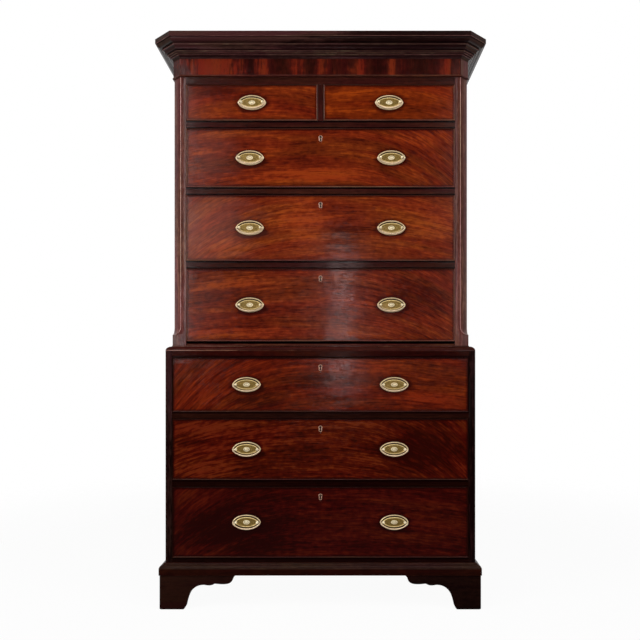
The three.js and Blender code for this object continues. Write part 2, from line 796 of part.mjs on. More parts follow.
// Every drawer, with its place, its size and the places of its handles
function drawerList() {
  const drawers = [];
  const add = (name, row, face, centre, width, length, handles, keyhole) => drawers.push({
    name, seat: row.seat, height: row.height, face, centre, width, length, handles, keyhole,
  });
  const upperLength = boardY - drawerBehind - upperFront;
  const lowerLength = boardY - drawerBehind - lowerFront;
  const shortWidth = upperOpenHalf - muntinWidth / 2 - 2 * frontSide;
  const shortCentre = (upperOpenHalf + muntinWidth / 2) / 2;
  add('short_left', shortRow, upperFront, -shortCentre, shortWidth, upperLength, [0], false);
  add('short_right', shortRow, upperFront, shortCentre, shortWidth, upperLength, [0], false);
  const upperHandles = [-upperHandleSpread, upperHandleSpread];
  upperRows.slice(0, -1).reverse().forEach((row, i) => {
    add(`upper_${i + 1}`, row, upperFront, 0, 2 * (upperOpenHalf - frontSide), upperLength, upperHandles, true);
  });
  const lowerHandles = [-lowerHandleSpread, lowerHandleSpread];
  [...lowerRows].reverse().forEach((row, i) => {
    add(`lower_${i + 1}`, row, lowerFront, 0, 2 * (lowerOpenHalf - frontSide), lowerLength, lowerHandles, true);
  });
  return drawers;
}

const chest = new THREE.Group();
chest.name = 'chest_on_chest';

const casework = new THREE.Group();
casework.name = 'casework';
casework.add(
  piece('cornice', cornice(), mahoganyDark),
  piece('upper_frame', upperFrame(), mahogany),
  piece('upper_left_side', upperSide(-1), mahogany),
  piece('upper_right_side', upperSide(1), mahogany),
  piece('upper_bottom', upperBottom(), pine),
  piece('upper_back', backBoards(upperInner, waistTop, topBoardLow), pine),
  piece('waist_moulding', waist(), mahoganyDark),
  piece('lower_frame', lowerFrame(), mahogany),
  piece('lower_left_side', lowerSide(-1), mahogany),
  piece('lower_right_side', lowerSide(1), mahogany),
  piece('lower_back', backBoards(lowerOpenHalf, baseTop, waistZ), pine),
  piece('base_moulding', base(), mahoganyDark),
  piece('foot_front_left', foot(-1, true), mahoganyDark),
  piece('foot_front_right', foot(1, true), mahoganyDark),
  piece('foot_back_left', foot(-1, false), mahoganyDark),
  piece('foot_back_right', foot(1, false), mahoganyDark),
);
chest.add(casework);

const plateBody = plate();
const bailBody = bail();
for (const drawer of drawerList()) {
  const group = new THREE.Group();
  group.name = drawer.name;
  group.position.set(drawer.centre, drawer.face, drawer.seat);
  group.add(
    piece(`${drawer.name}_front`, drawerFront(drawer), mahoganyFront),
    piece(`${drawer.name}_box`, drawerBox(drawer), oak),
  );
  drawer.handles.forEach((x) => {
    const place = drawer.handles.length > 1 ? (x < 0 ? '_left' : '_right') : '';
    const handle = new THREE.Group();
    handle.position.set(x, 0, frontBelow + drawer.height / 2);
    const bow = piece(`${drawer.name}_bail${place}`, bailBody, brass);
    bow.position.set(0, -postReach, 0);
    handle.add(piece(`${drawer.name}_plate${place}`, plateBody, brass), bow);
    group.add(handle);
  });
  chest.add(group);
}

export default chest;
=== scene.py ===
"""A chest on chest in figured mahogany with stamped brass handles, dressed and lit for its picture."""
import math
import random

import bmesh
import bpy
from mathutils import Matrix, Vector
from mathutils.geometry import interpolate_bezier


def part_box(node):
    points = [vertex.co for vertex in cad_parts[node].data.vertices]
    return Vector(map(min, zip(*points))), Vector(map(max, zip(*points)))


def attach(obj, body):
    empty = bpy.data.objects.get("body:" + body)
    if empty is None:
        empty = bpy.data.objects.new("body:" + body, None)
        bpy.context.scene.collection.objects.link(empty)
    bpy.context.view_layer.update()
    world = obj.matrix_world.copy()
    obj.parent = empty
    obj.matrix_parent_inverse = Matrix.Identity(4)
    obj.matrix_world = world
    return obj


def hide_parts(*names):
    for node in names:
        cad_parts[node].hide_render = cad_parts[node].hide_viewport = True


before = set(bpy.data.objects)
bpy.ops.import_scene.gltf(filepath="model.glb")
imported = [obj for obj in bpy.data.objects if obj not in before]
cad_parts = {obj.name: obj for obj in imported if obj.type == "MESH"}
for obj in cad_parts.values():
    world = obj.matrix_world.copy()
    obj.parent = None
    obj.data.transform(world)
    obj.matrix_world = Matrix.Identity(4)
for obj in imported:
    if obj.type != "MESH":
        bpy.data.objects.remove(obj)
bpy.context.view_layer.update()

MM = 0.001

# The main planes and levels of the two cases, in metres
BACK = 0.284
BOARD_FRONT = 0.272
UPPER_FRONT = -0.226
LOWER_FRONT = -0.246
UPPER_HALF = 0.485
LOWER_HALF = 0.5035
CANT = 0.026
FOOT_TOP = 0.110
BASE_TOP = 0.1485
LOWER_FLOOR = 0.163
LOWER_OPEN_HALF = 0.4825
WAIST_LOW = 0.8355
WAIST_TOP = 0.8525
NECK_LOW = 1.7335
FRIEZE_TOP = 1.789
CORNICE_TOP = 1.859

LONG_DRAWERS = ["upper_1", "upper_2", "upper_3", "lower_1", "lower_2", "lower_3"]
DRAWERS = ["short_left", "short_right"] + LONG_DRAWERS


def face_of(drawer):
    """The plane of a drawer's front."""
    return LOWER_FRONT if drawer.startswith("lower") else UPPER_FRONT


def tags_of(drawer):
    """The endings that name a drawer's handles: a short drawer has one handle."""
    return [""] if drawer.startswith("short") else ["_left", "_right"]


def tone(red, green, blue):
    """A screen colour, 0 to 255 a channel, as the linear colour that a shader takes."""
    linear = [(c / 255 / 12.92) if c < 11 else ((c / 255 + 0.055) / 1.055) ** 2.4 for c in (red, green, blue)]
    return (*linear, 1.0)


# Shader networks

class Value:
    """What a node gives out; arithmetic with it adds Math nodes to its net."""

    def __init__(self, net, socket):
        self.net = net
        self.socket = socket

    def __add__(self, other):
        return self.net.math("ADD", self, other)

    def __radd__(self, other):
        return self.net.math("ADD", other, self)

    def __sub__(self, other):
        return self.net.math("SUBTRACT", self, other)

    def __rsub__(self, other):
        return self.net.math("SUBTRACT", other, self)

    def __mul__(self, other):
        return self.net.math("MULTIPLY", self, other)


class Net:
    """One node tree, with short calls that add a node, wire it up and give what it puts out."""

    def __init__(self, tree):
        self.tree = tree

    def feed(self, socket, value):
        if isinstance(value, Value):
            self.tree.links.new(value.socket, socket)
        else:
            socket.default_value = value

    def fill(self, node, **inputs):
        for key, value in inputs.items():
            self.feed(node.inputs[key.replace("_", " ")], value)

    def node(self, kind, settings=(), terms=(), **inputs):
        """A new node, with its settings, its first inputs in order and its other inputs by name."""
        node = self.tree.nodes.new("ShaderNode" + kind)
        for key, value in dict(settings).items():
            setattr(node, key, value)
        for socket, value in zip(node.inputs, terms):
            self.feed(socket, value)
        self.fill(node, **inputs)
        return node

    def add(self, kind, output=0, settings=(), terms=(), **inputs):
        return Value(self, self.node(kind, settings, terms, **inputs).outputs[output])

    def group(self, tree, **inputs):
        node = self.node("Group", {"node_tree": tree}, **inputs)
        return {socket.name: Value(self, socket) for socket in node.outputs}

    def math(self, operation, *terms):
        return self.add("Math", 0, {"operation": operation}, terms)

    def vector(self, operation, *terms):
        output = "Value" if operation in ("LENGTH", "DOT_PRODUCT") else "Vector"
        return self.add("VectorMath", output, {"operation": operation}, terms)

    def split(self, vector):
        return [Value(self, socket) for socket in self.node("SeparateXYZ", Vector=vector).outputs]

    def spread(self, x, y, z):
        return self.add("CombineXYZ", X=x, Y=y, Z=z)

    def smooth(self, value, low, high):
        return self.add("MapRange", 0, {"interpolation_type": "SMOOTHSTEP"}, Value=value, From_Min=low, From_Max=high)

    def mix(self, share, first, second, blend="MIX"):
        node = self.node("Mix", {"data_type": "RGBA", "blend_type": blend})
        for index, value in ((0, share), (6, first), (7, second)):
            self.feed(node.inputs[index], value)
        return Value(self, node.outputs[2])

    def noise(self, vector, seed, detail=2.0, rough=0.5, bend=0.0, scale=1.0):
        return self.add("TexNoise", 0, {"noise_dimensions": "4D"}, Vector=vector, W=seed, Scale=scale, Detail=detail,
                        Roughness=rough, Distortion=bend)

    def open_sky(self, reach):
        return self.add("AmbientOcclusion", "AO", {"samples": 6}, Distance=reach)


def shader_group(name, inputs, outputs):
    """An empty group: its net, what it takes in by name, and the sockets it gives out by. A number is a default."""
    tree = bpy.data.node_groups.new(name, "ShaderNodeTree")
    for label, value in inputs.items():
        kind = value if isinstance(value, str) else "Float"
        socket = tree.interface.new_socket(label, in_out="INPUT", socket_type="NodeSocket" + kind)
        if kind == "Float":
            socket.default_value = value
    for label, kind in outputs.items():
        tree.interface.new_socket(label, in_out="OUTPUT", socket_type="NodeSocket" + kind)
    net = Net(tree)
    taken = {socket.name: Value(net, socket) for socket in tree.nodes.new("NodeGroupInput").outputs}
    return net, taken, tree.nodes.new("NodeGroupOutput").inputs


# Layers of mahogany's figure: repeats a metre along the grain and across it, offset of the seed, and detail
FIGURE_LINES = {
    "broad": (2.2, 30.0, 0.0, 2.0), "middle": (7.0, 130.0, 2.0, 2.0), "fine": (24.0, 330.0, 3.0, 2.0),
    "mottle": (52.0, 88.0, 17.0, 2.0), "ripple": (38.0, 14.0, 5.0, 1.0), "pores": (60.0, 900.0, 7.0, 1.0),
    "warmth": (3.0, 26.0, 11.0, 1.0),
}
# The same for the layers that don't follow the grain, with their repeats along X and along Z
FIGURE_BLOTS = {"drift": (3.2, 5.0, 0.0, 1.0), "waves": (16.0, 34.0, 13.0, 1.0), "clouds": (4.0, 9.0, 9.0, 1.0),
                "crazing": (260.0, 60.0, 15.0, 2.0)}
STREAK_SHARES = {"broad": 0.7, "middle": 0.8, "fine": 0.9, "mottle": 0.75}
DARK_TO_MID = (0.05, 0.55)
MID_TO_LIGHT = (0.45, 1.0)
COOL_TO_WARM = (0.38, 0.62)
COOL_TINT = (1.0, 0.8, 0.85, 1.0)
WARM_TINT = (1.06, 1.2, 0.9, 1.0)
PORE_EDGE = (0.56, 0.72)
PORE_DARK = 0.5
BOW_POWER = 2.5
DRIFT_REACH = 0.03
WAVE_HEIGHT = 12.0
CRAZING_HEIGHT = 0.7
# The ragged edge of a veneer patch: repeats a metre along and across the grain, share of its reach, and its fade
RAGGED = (9.0, 60.0)
RAGGED_SHARE = 1.2
PATCH_FADE = (0.2, 1.3)
# Where masks fade: wear by the turn of an arris, by open sky and by patches, soiling with painted shade and aged brass
# by open sky
WEAR_TURN = (0.01, 0.2)
WEAR_SKY = (0.45, 0.8)
WEAR_PATCHES = (0.35, 0.6)
DIRT_AND_SHADE_SKY = (0.15, 0.75)
BRASS_SKY = (0.3, 0.9)
BRASS_SPOTS = (0.45, 0.72)
# Layers of oak and pine, as of mahogany, where their colour and stains fade, and the shares of rings and stains
TIMBER_LINES = {"rings": (1.6, 34.0, 0.0, 3.0), "fibre": (14.0, 420.0, 3.0, 2.0), "stains": (6.0, 7.0, 6.0, 2.0)}
EARLY_TO_LATE = (0.36, 0.64)
STAIN_EDGE = (0.5, 0.75)
RING_SHARE = 0.75
STAIN_SHARE = 0.35


def mahogany_figure():
    """Long fine streaks, ripple and pores of mahogany, with the grain along X and bowed down towards both ends."""
    net, taken, given = shader_group(
        "mahogany figure",
        {"Vector": "Vector", "Seed": 0.0, "Left rise": 0.0, "Right fall": 0.0, "Streak": 1.0, "Ripple": 0.1,
         "Cloud": 0.25, "Shift": 0.0, "Dark": "Color", "Mid": "Color", "Light": "Color"},
        {"Colour": "Color", "Height": "Float", "Dull": "Float"})
    x, y, z = net.split(taken["Vector"])

    def blots(name):
        along, up, offset, detail = FIGURE_BLOTS[name]
        return net.noise(net.spread(x * along, y, z * up), taken["Seed"] + offset, detail)

    def bowed(reach, amount):
        return net.math("POWER", net.math("MAXIMUM", reach, 0.0), BOW_POWER) * amount

    across = z + (bowed(x * -1.0, taken["Left rise"]) + bowed(x, taken["Right fall"])) + blots("drift") * DRIFT_REACH

    def lines(along, over, offset, detail):
        return net.noise(net.spread(x * along, y * over, across * over), taken["Seed"] + offset, detail, 0.55)

    def swing(value, amount):
        return (value - 0.5) * amount

    layer = {name: lines(*row) for name, row in FIGURE_LINES.items()}
    clouds = blots("clouds")
    pores = net.smooth(layer["pores"], *PORE_EDGE)
    level = 0.5 + taken["Shift"] * net.math("MULTIPLY_ADD", layer["middle"], 1.9, 0.05)
    for name, share in STREAK_SHARES.items():
        level = level + swing(layer[name], taken["Streak"] * share)
    level = level + swing(layer["ripple"], taken["Ripple"]) + swing(clouds, taken["Cloud"])
    colour = net.mix(net.smooth(level, *DARK_TO_MID), taken["Dark"], taken["Mid"])
    colour = net.mix(net.smooth(level, *MID_TO_LIGHT), colour, taken["Light"])
    tint = net.mix(net.smooth(layer["warmth"], *COOL_TO_WARM), COOL_TINT, WARM_TINT)
    colour = net.mix(1.0, colour, tint, "MULTIPLY")
    net.feed(given["Colour"], net.mix(pores * PORE_DARK, colour, taken["Dark"]))
    relief = net.math("MULTIPLY_ADD", layer["fine"], 0.5, blots("crazing") * CRAZING_HEIGHT) - pores
    net.feed(given["Height"], net.math("MULTIPLY_ADD", blots("waves"), WAVE_HEIGHT, relief))
    net.feed(given["Dull"], clouds)
    return net.tree


def veneer_patch():
    """A soft-edged oval mask at a place, for a light or dark passage in a veneer, and for painted light and shade."""
    net, taken, given = shader_group("veneer patch", {"Vector": "Vector", "Place": "Vector", "Reach": "Vector"},
                                     {"Mask": "Float"})
    away = net.vector("SUBTRACT", taken["Vector"], taken["Place"])
    far = net.vector("LENGTH", net.vector("DIVIDE", away, taken["Reach"]))
    x, y, z = net.split(taken["Vector"])
    ragged = net.noise(net.spread(x * RAGGED[0], y, z * RAGGED[1]), 5.0)
    net.feed(given["Mask"], 1.0 - net.smooth(far + (ragged - 0.5) * RAGGED_SHARE, *PATCH_FADE))
    return net.tree


def edges_dirt_and_shade():
    """Rounded arrises for the light to catch, a mask of their wear, and a mask of the corners by open sky, for soiling
    and painted shade.
    """
    net, taken, given = shader_group("edges and dirt", {"Radius": 0.001, "Reach": 0.02, "Vector": "Vector"},
                                     {"Normal": "Vector", "Worn": "Float", "Dirt and shade": "Float"})
    rounded = net.add("Bevel", 0, {"samples": 5}, Radius=taken["Radius"])
    turned = 1.0 - net.vector("DOT_PRODUCT", rounded, net.add("NewGeometry", "Normal"))
    sky = net.open_sky(taken["Reach"])
    patches = net.smooth(net.noise(taken["Vector"], 2.0, 3.0, 0.6, scale=45.0), *WEAR_PATCHES)
    net.feed(given["Normal"], rounded)
    net.feed(given["Worn"], net.smooth(turned, *WEAR_TURN) * (net.smooth(sky, *WEAR_SKY) * patches))
    net.feed(given["Dirt and shade"], 1.0 - net.smooth(sky, *DIRT_AND_SHADE_SKY))
    return net.tree


def plain_timber():
    """Straight-grained oak or pine, with the grain along X."""
    net, taken, given = shader_group(
        "plain timber", {"Vector": "Vector", "Seed": 0.0, "Pitch": 1.0, "Early": "Color", "Late": "Color"},
        {"Colour": "Color", "Height": "Float"})
    split = net.split(taken["Vector"])

    def lines(along, over, offset, detail):
        scaled = [axis * share * taken["Pitch"] for axis, share in zip(split, (along, over, over))]
        return net.noise(net.spread(*scaled), taken["Seed"] + offset, detail, 0.6, 0.2)

    layer = {name: lines(*row) for name, row in TIMBER_LINES.items()}
    level = layer["rings"] * RING_SHARE + layer["fibre"] * (1 - RING_SHARE)
    colour = net.mix(net.smooth(level, *EARLY_TO_LATE), taken["Early"], taken["Late"])
    stains = net.smooth(layer["stains"], *STAIN_EDGE) * STAIN_SHARE
    net.feed(given["Colour"], net.mix(stains, colour, taken["Late"]))
    net.feed(given["Height"], level)
    return net.tree


def brass_age():
    """Lacquered brass: rubbed bright on what stands out, olive and brown in what lies back."""
    net, taken, given = shader_group(
        "brass age", {"Vector": "Vector", "Bright": "Color", "Aged": "Color", "Share": 0.3},
        {"Colour": "Color", "Roughness": "Float"})
    hidden = 1.0 - net.smooth(net.open_sky(0.006), *BRASS_SKY)
    spots = net.smooth(net.noise(taken["Vector"], 1.0, 4.0, 0.65, scale=190.0), *BRASS_SPOTS)
    aged = net.math("MINIMUM", spots * taken["Share"] + hidden * 0.75, 1.0)
    net.feed(given["Colour"], net.mix(aged, taken["Bright"], taken["Aged"]))
    net.feed(given["Roughness"], 0.24 + aged * 0.25)
    return net.tree


FIGURE = mahogany_figure()
PATCH = veneer_patch()
EDGES = edges_dirt_and_shade()
TIMBER = plain_timber()
BRASS_AGE = brass_age()
DIRT_AND_SHADE = tone(9, 5, 4)
TIMBER_DIRT_AND_SHADE = tone(40, 26, 16)
WORN_WOOD = tone(120, 70, 54)
# The pale tint of a painted sheen, mixed into the drawer fronts where the left lamps' sheen falls
PAINTED_SHEEN = tone(150, 112, 104)
OAK = [(150, 116, 74), (112, 80, 46)]
# The turns that lay the grain upright or from front to back
UPRIGHT = (0, 90, 0)
ACROSS = (0, 0, 90)
PASSAGE_STRENGTH = 0.7
# How worn wood shows, how far the gloss of the polish wanders, and how much duller the soiled, shaded corners are
WORN_SHARE = 0.5
GLOSS_SPREAD = 0.12
DIRT_DULL = 0.3
# Soiling and painted shade round the rim of a drawer front: how far in it is full, how far in it ends, and its strength
RIM_SOIL_AND_SHADE = (0.002, 0.011, -0.45)


def new_material(name):
    material = bpy.data.materials.new(name)
    material.use_nodes = True
    return material, Net(material.node_tree), material.node_tree.nodes["Principled BSDF"]


def placed(net, place=(0, 0, 0), turn=(0, 0, 0)):
    """Object coordinates, centred on a place and then turned, in degrees."""
    centred = net.add("Mapping", Vector=net.add("TexCoord", "Object"), Location=[-c for c in place])
    return net.add("Mapping", Vector=centred, Rotation=[math.radians(angle) for angle in turn])


def shades_of(red, green, blue):
    """A dark, a middle and a light mahogany round one colour."""
    return [(red * 0.6, green * 0.45, blue * 0.5), (red, green, blue), (red * 1.42, green * 1.75, blue * 1.6)]


def mahogany(name, colours, seed, place=(0, 0, 0), turn=(0, 0, 0), rise=0.0, fall=0.0, streak=1.0, ripple=0.1,
             rough=0.12, edge=1.0, dirt_and_shade=0.8, specular=0.17, patches=(), core=None, field=None, painted_sheen=()):
    """Polished mahogany: figure, worn arrises, corners darkened as soiling and as painted shade, and an old surface
    that is not quite flat.

    Patches and painted sheens list ovals: across, up, half width, half height and strength. Patches give light and dark
    passages of the figure and also painted light and shade, and a painted sheen mixes in the pale tint of a lamp's
    sheen.
    A core is the distance from the middle within which the wood is oak, and a field the half sizes of a front that
    darkens round its rim, as soiling and as painted shade.
    """
    material, net, shader = new_material(name)
    vector = placed(net, place, turn)
    dark, mid, light = (tone(*colour) for colour in colours)

    def oval(x, z, wide, high):
        return net.group(PATCH, Vector=vector, Place=(x, 0, z), Reach=(wide, 1, high))["Mask"]

    shift = 0.0
    for *where, amount in patches:
        shift = net.math("MULTIPLY_ADD", oval(*where), amount * PASSAGE_STRENGTH, shift)
    # Painted shade with soiling: the front darkens within a few mm of its rim
    if field:
        x, _, z = net.split(vector)
        gaps = [half - net.math("ABSOLUTE", away) for half, away in zip(field, (x, z))]
        full, end, amount = RIM_SOIL_AND_SHADE
        near = 1.0 - net.smooth(net.math("MINIMUM", *gaps), full, end)
        shift = net.math("MULTIPLY_ADD", near, amount, shift)
    figure = net.group(FIGURE, Vector=vector, Seed=seed, Left_rise=rise, Right_fall=fall, Streak=streak,
                       Ripple=ripple, Shift=shift, Dark=dark, Mid=mid, Light=light)
    edges = net.group(EDGES, Radius=edge * MM, Reach=0.012, Vector=vector)
    colour = figure["Colour"]
    # Painted sheen: a pale tint mixed in where a lamp's sheen falls
    for *where, amount in painted_sheen:
        colour = net.mix(oval(*where) * amount, colour, PAINTED_SHEEN)
    if core:
        inside = net.smooth(net.math("ABSOLUTE", net.split(placed(net))[0]), core, core - MM)
        oak = net.group(TIMBER, Vector=vector, Seed=seed, Early=tone(*OAK[0]), Late=tone(*OAK[1]))
        colour = net.mix(inside, colour, oak["Colour"])
    colour = net.mix(edges["Worn"] * WORN_SHARE, colour, WORN_WOOD)
    dulled = (rough - GLOSS_SPREAD / 2) + figure["Dull"] * GLOSS_SPREAD + edges["Dirt and shade"] * DIRT_DULL
    # The corners darken by open sky: soiling, and painted shade where little light reaches
    net.fill(shader, Base_Color=net.mix(edges["Dirt and shade"] * dirt_and_shade, colour, DIRT_AND_SHADE), Roughness=dulled,
             Normal=net.add("Bump", Strength=0.12, Distance=0.0004, Height=figure["Height"], Normal=edges["Normal"]),
             Specular_IOR_Level=specular)
    return material


def timber(name, early, late, seed, turn=(0, 0, 0), pitch=1.0, rough=0.75, backs=False):
    """Oak or pine; backs lays the grain along X on the faces that look to the front or the back."""
    material, net, shader = new_material(name)
    vector = placed(net, (0, 0, 0), turn)
    if backs:
        facing = net.math("ABSOLUTE", net.split(net.add("TexCoord", "Normal"))[1])
        vector = net.mix(net.math("GREATER_THAN", facing, 0.6), vector, placed(net))
    wood = net.group(TIMBER, Vector=vector, Seed=seed, Pitch=pitch, Early=tone(*early), Late=tone(*late))
    edges = net.group(EDGES, Radius=0.0008, Reach=0.03, Vector=vector)
    # The corners darken by open sky: soiling, and painted shade where little light reaches
    net.fill(shader, Base_Color=net.mix(edges["Dirt and shade"] * 0.7, wood["Colour"], TIMBER_DIRT_AND_SHADE), Roughness=rough,
             Normal=net.add("Bump", Strength=0.25, Distance=0.0005, Height=wood["Height"], Normal=edges["Normal"]))
    return material


def brass(name, bright, aged, share, metal):
    """Brass with its bright and its aged colour, the share of aged spots and how metallic it is."""
    material, net, shader = new_material(name)
    vector = placed(net)
    age = net.group(BRASS_AGE, Vector=vector, Bright=tone(*bright), Aged=tone(*aged), Share=share)
    scratches = net.noise(vector, 4.0, 3.0, 0.6, scale=700.0)
    net.fill(shader, Base_Color=age["Colour"], Roughness=age["Roughness"], Metallic=metal,
             Normal=net.add("Bump", Strength=0.12, Distance=0.0002, Height=scratches))
    return material


def rusty_iron():
    """Dark iron with patches of rust, for locks, screws and nails."""
    material, net, shader = new_material("lock iron")
    rust = net.smooth(net.noise(placed(net), 3.0, 4.0, 0.6, scale=120.0), 0.4, 0.65)
    net.fill(shader, Base_Color=net.mix(rust, tone(30, 26, 24), tone(48, 32, 22)), Metallic=0.5, Roughness=0.6)
    return material


# Meshes

def piece(name, bm, body, finishes, stands_for=(), smooth=32):
    """A finished bmesh as an object that rides on a body of the chest."""
    bmesh.ops.remove_doubles(bm, verts=bm.verts, dist=1e-6)
    bmesh.ops.recalc_face_normals(bm, faces=bm.faces)
    for face in bm.faces:
        face.smooth = True
    for edge in bm.edges:
        edge.smooth = len(edge.link_faces) == 2 and edge.calc_face_angle() < math.radians(smooth)
    mesh = bpy.data.meshes.new(name)
    bm.to_mesh(mesh)
    bm.free()
    for finish in finishes if isinstance(finishes, list) else [finishes]:
        mesh.materials.append(finish)
    obj = bpy.data.objects.new(name, mesh)
    bpy.context.scene.collection.objects.link(obj)
    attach(obj, body)
    if stands_for:
        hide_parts(*stands_for)


def painted(bm, before, finish=1):
    """Gives a finish to the faces added since a set was taken of them."""
    for face in set(bm.faces) - before:
        face.material_index = finish


def slab(bm, low, high):
    """A rectangular board between two corners."""
    low, high = Vector(low), Vector(high)
    made = bmesh.ops.create_cube(bm, size=1.0)["verts"]
    bmesh.ops.scale(bm, vec=high - low, verts=made)
    bmesh.ops.translate(bm, vec=(low + high) / 2, verts=made)


def boards(name, boxes, finish, ease=0.0, segments=1, stands_for=(), smooth=32):
    """A piece of the case that is some boards between pairs of corners, with their arrises eased by some mm."""
    bm = bmesh.new()
    for low, high in boxes:
        slab(bm, low, high)
    if ease:
        eased(bm, ease * MM, segments)
    piece(name, bm, "case", finish, stands_for, smooth)


def extruded(bm, points, ends):
    """A face on some points, extruded so that each point's far copy lies at its place in ends."""
    near = [bm.verts.new(point) for point in points]
    face = bm.faces.new(near)
    grown = bmesh.ops.extrude_face_region(bm, geom=[face])["geom"]
    far = {vert for vert in grown if isinstance(vert, bmesh.types.BMVert)}
    for vert, end in zip(near, ends):
        twin = next(edge.other_vert(vert) for edge in vert.link_edges if edge.other_vert(vert) in far)
        twin.co = end


def lofted(bm, rings, shade=None):
    """A ring extruded from station to station and closed at both ends; shade(step, side) picks a material."""
    loop = [bm.verts.new(point) for point in rings[0]]
    edges = [bm.edges.new(pair) for pair in zip(loop, loop[1:] + loop[:1])]
    bm.faces.new(loop)
    for step, ring in enumerate(rings[1:]):
        grown = set(bmesh.ops.extrude_edge_only(bm, edges=edges)["geom"])
        if shade:
            for side, edge in enumerate(edges):
                for face in edge.link_faces:
                    if face in grown:
                        face.material_index = shade(step, side)
        loop = [next(edge.other_vert(vert) for edge in vert.link_edges if edge.other_vert(vert) in grown)
                for vert in loop]
        for vert, point in zip(loop, ring):
            vert.co = point
        edges = [bm.edges.get(pair) for pair in zip(loop, loop[1:] + loop[:1])]
    bm.faces.new(loop)


def eased(bm, width, segments=2, angle=40):
    """Rounds the arrises that turn by more than an angle."""
    arrises = [edge for edge in bm.edges if len(edge.link_faces) == 2
               and edge.calc_face_angle() > math.radians(angle)]
    bmesh.ops.bevel(bm, geom=arrises, offset=width, offset_type="OFFSET", affect="EDGES", segments=segments,
                    profile=0.5, material=-1, clamp_overlap=True)


def quarter(start, end, bulge, steps=8):
    """Points of an elliptical arc between two corners: an ovolo for 1 and a cove for -1."""
    points = []
    for i in range(steps + 1):
        turn = i / steps * math.pi / 2
        out = math.sin(turn) if bulge > 0 else 1 - math.cos(turn)
        up = 1 - math.cos(turn) if bulge > 0 else math.sin(turn)
        points.append((start[0] + (end[0] - start[0]) * out, start[1] + (end[1] - start[1]) * up))
    return points


def case_plan(half, front, cant=0.0):
    """A case's face seen from above, from its back left corner round the front."""
    right = [(half - cant, front), (half, front + cant)] if cant else [(half, front)]
    right.append((half, BACK))
    return [Vector((-x, y)) for x, y in reversed(right)] + [Vector(point) for point in right]


def mitres(plan):
    """For each corner of a plan, the step that moves it outward by one on both of its faces."""
    normals = []
    for here, there in zip(plan, plan[1:]):
        run = (there - here).normalized()
        normals.append(Vector((run.y, -run.x)))
    steps = []
    for i in range(len(plan)):
        before, after = normals[max(i - 1, 0)], normals[min(i, len(normals) - 1)]
        steps.append((before + after) / (1 + before.dot(after)))
    return steps


def moulding(profile, plan, run, rubbed=()):
    """One mitred length of a moulding from a corner of its plan to the next; rubbed lists the facets of its arrises,
    which take a second, paler finish, worn and painted as a highlight.
    """
    bm = bmesh.new()
    steps = mitres(plan)

    def ring(i):
        return [(plan[i].x + steps[i].x * out, plan[i].y + steps[i].y * out, up) for out, up in profile]

    lofted(bm, [ring(run), ring(run + 1)], lambda step, facet: 1 if facet in rubbed else 0)
    return bm


def three_lengths(name, profile, plan, rubbed, finishes):
    """A moulding of the lower case along its left side, its front and its right side."""
    for index, run in enumerate(("left_side", "front", "right_side")):
        piece(f"{name}_{run}", moulding(profile, plan, index, rubbed), "case", finishes,
              [name] if index == 0 else (), smooth=30)


def plan_board(name, plan, inset, rear, low, high):
    """A flat pine board inside a plan."""
    points = [place - step * inset for place, step in zip(plan, mitres(plan))]
    points[0].y = points[-1].y = rear
    bm = bmesh.new()
    extruded(bm, [(p.x, p.y, low) for p in points], [(p.x, p.y, high) for p in points])
    piece(name, bm, "case", pine_flat_finish)


def lathe(bm, profile, place, axis="Y", steps=24):
    """A turned shape: (radius, distance) points spun round an axis through a place."""
    along = {"X": Vector((1, 0, 0)), "Y": Vector((0, -1, 0))}[axis]
    place = Vector(place)
    verts = [bm.verts.new(place + Vector((0, 0, radius)) + along * far) for radius, far in profile]
    edges = [bm.edges.new(pair) for pair in zip(verts, verts[1:])]
    if profile[0][0] > 0:
        edges.append(bm.edges.new((verts[-1], verts[0])))
    bmesh.ops.spin(bm, geom=verts + edges, cent=place, axis=along, angle=math.tau, steps=steps, use_merge=True)
    bmesh.ops.remove_doubles(bm, verts=bm.verts, dist=1e-6)


# Camera, lights and floor

CAMERA = {"lens": 39.8, "sensor_width": 36, "shift_x": -0.028, "shift_y": 0.07}
CAMERA_PLACE = (0.057, -2.546, 0.79)
# Each softbox: its place, what it faces, width, height, power and colour
WHITE = (1, 1, 1)
SOFTBOXES = {
    "left_softbox": ((-2.6, -2.0, 2.2), (0, -0.2, 1.1), 1.5, 2.2, 76, WHITE),
    "right_softbox": ((2.6, -2.0, 2.2), (0, -0.2, 1.1), 1.5, 2.2, 47, WHITE),
    "top_softbox": ((0.0, -1.7, 3.9), (0, -0.1, 1.0), 2.6, 1.2, 33, WHITE),
    "left_tall_strip": ((-1.19, -3.2, 1.9), (-0.47, -0.2, 1.3), 0.2, 2.1, 9.5, WHITE),
    "right_tall_strip": ((1.10, -3.2, 1.9), (0.47, -0.2, 1.3), 0.2, 2.1, 4.5, WHITE),
    "window_strip": ((0.10, -4.9, 1.25), (0, -0.2, 1.1), 0.12, 1.5, 8, (1, 0.86, 0.86)),
}
FLOOR_HALF = 6.0
FLOOR_FADE = (1.2, 3.0)
FLOOR_GLOW = 0.95
AMBIENT = 0.14
# For the world and for the floor: where reflections turn from dark before the chest to white behind it, and how
# bright the dark side is
WORLD_TURN, WORLD_DARK = (-0.15, 0.55), 0.03
FLOOR_TURN, FLOOR_DARK = (-0.1, 0.9), 0.05


def seen_rays(net):
    """What the camera sees straight, and what metal and glass show it."""
    camera, glossy, through = (net.add("LightPath", f"Is {kind} Ray") for kind in ("Camera", "Glossy", "Transmission"))
    return camera, net.math("MAXIMUM", glossy, through)


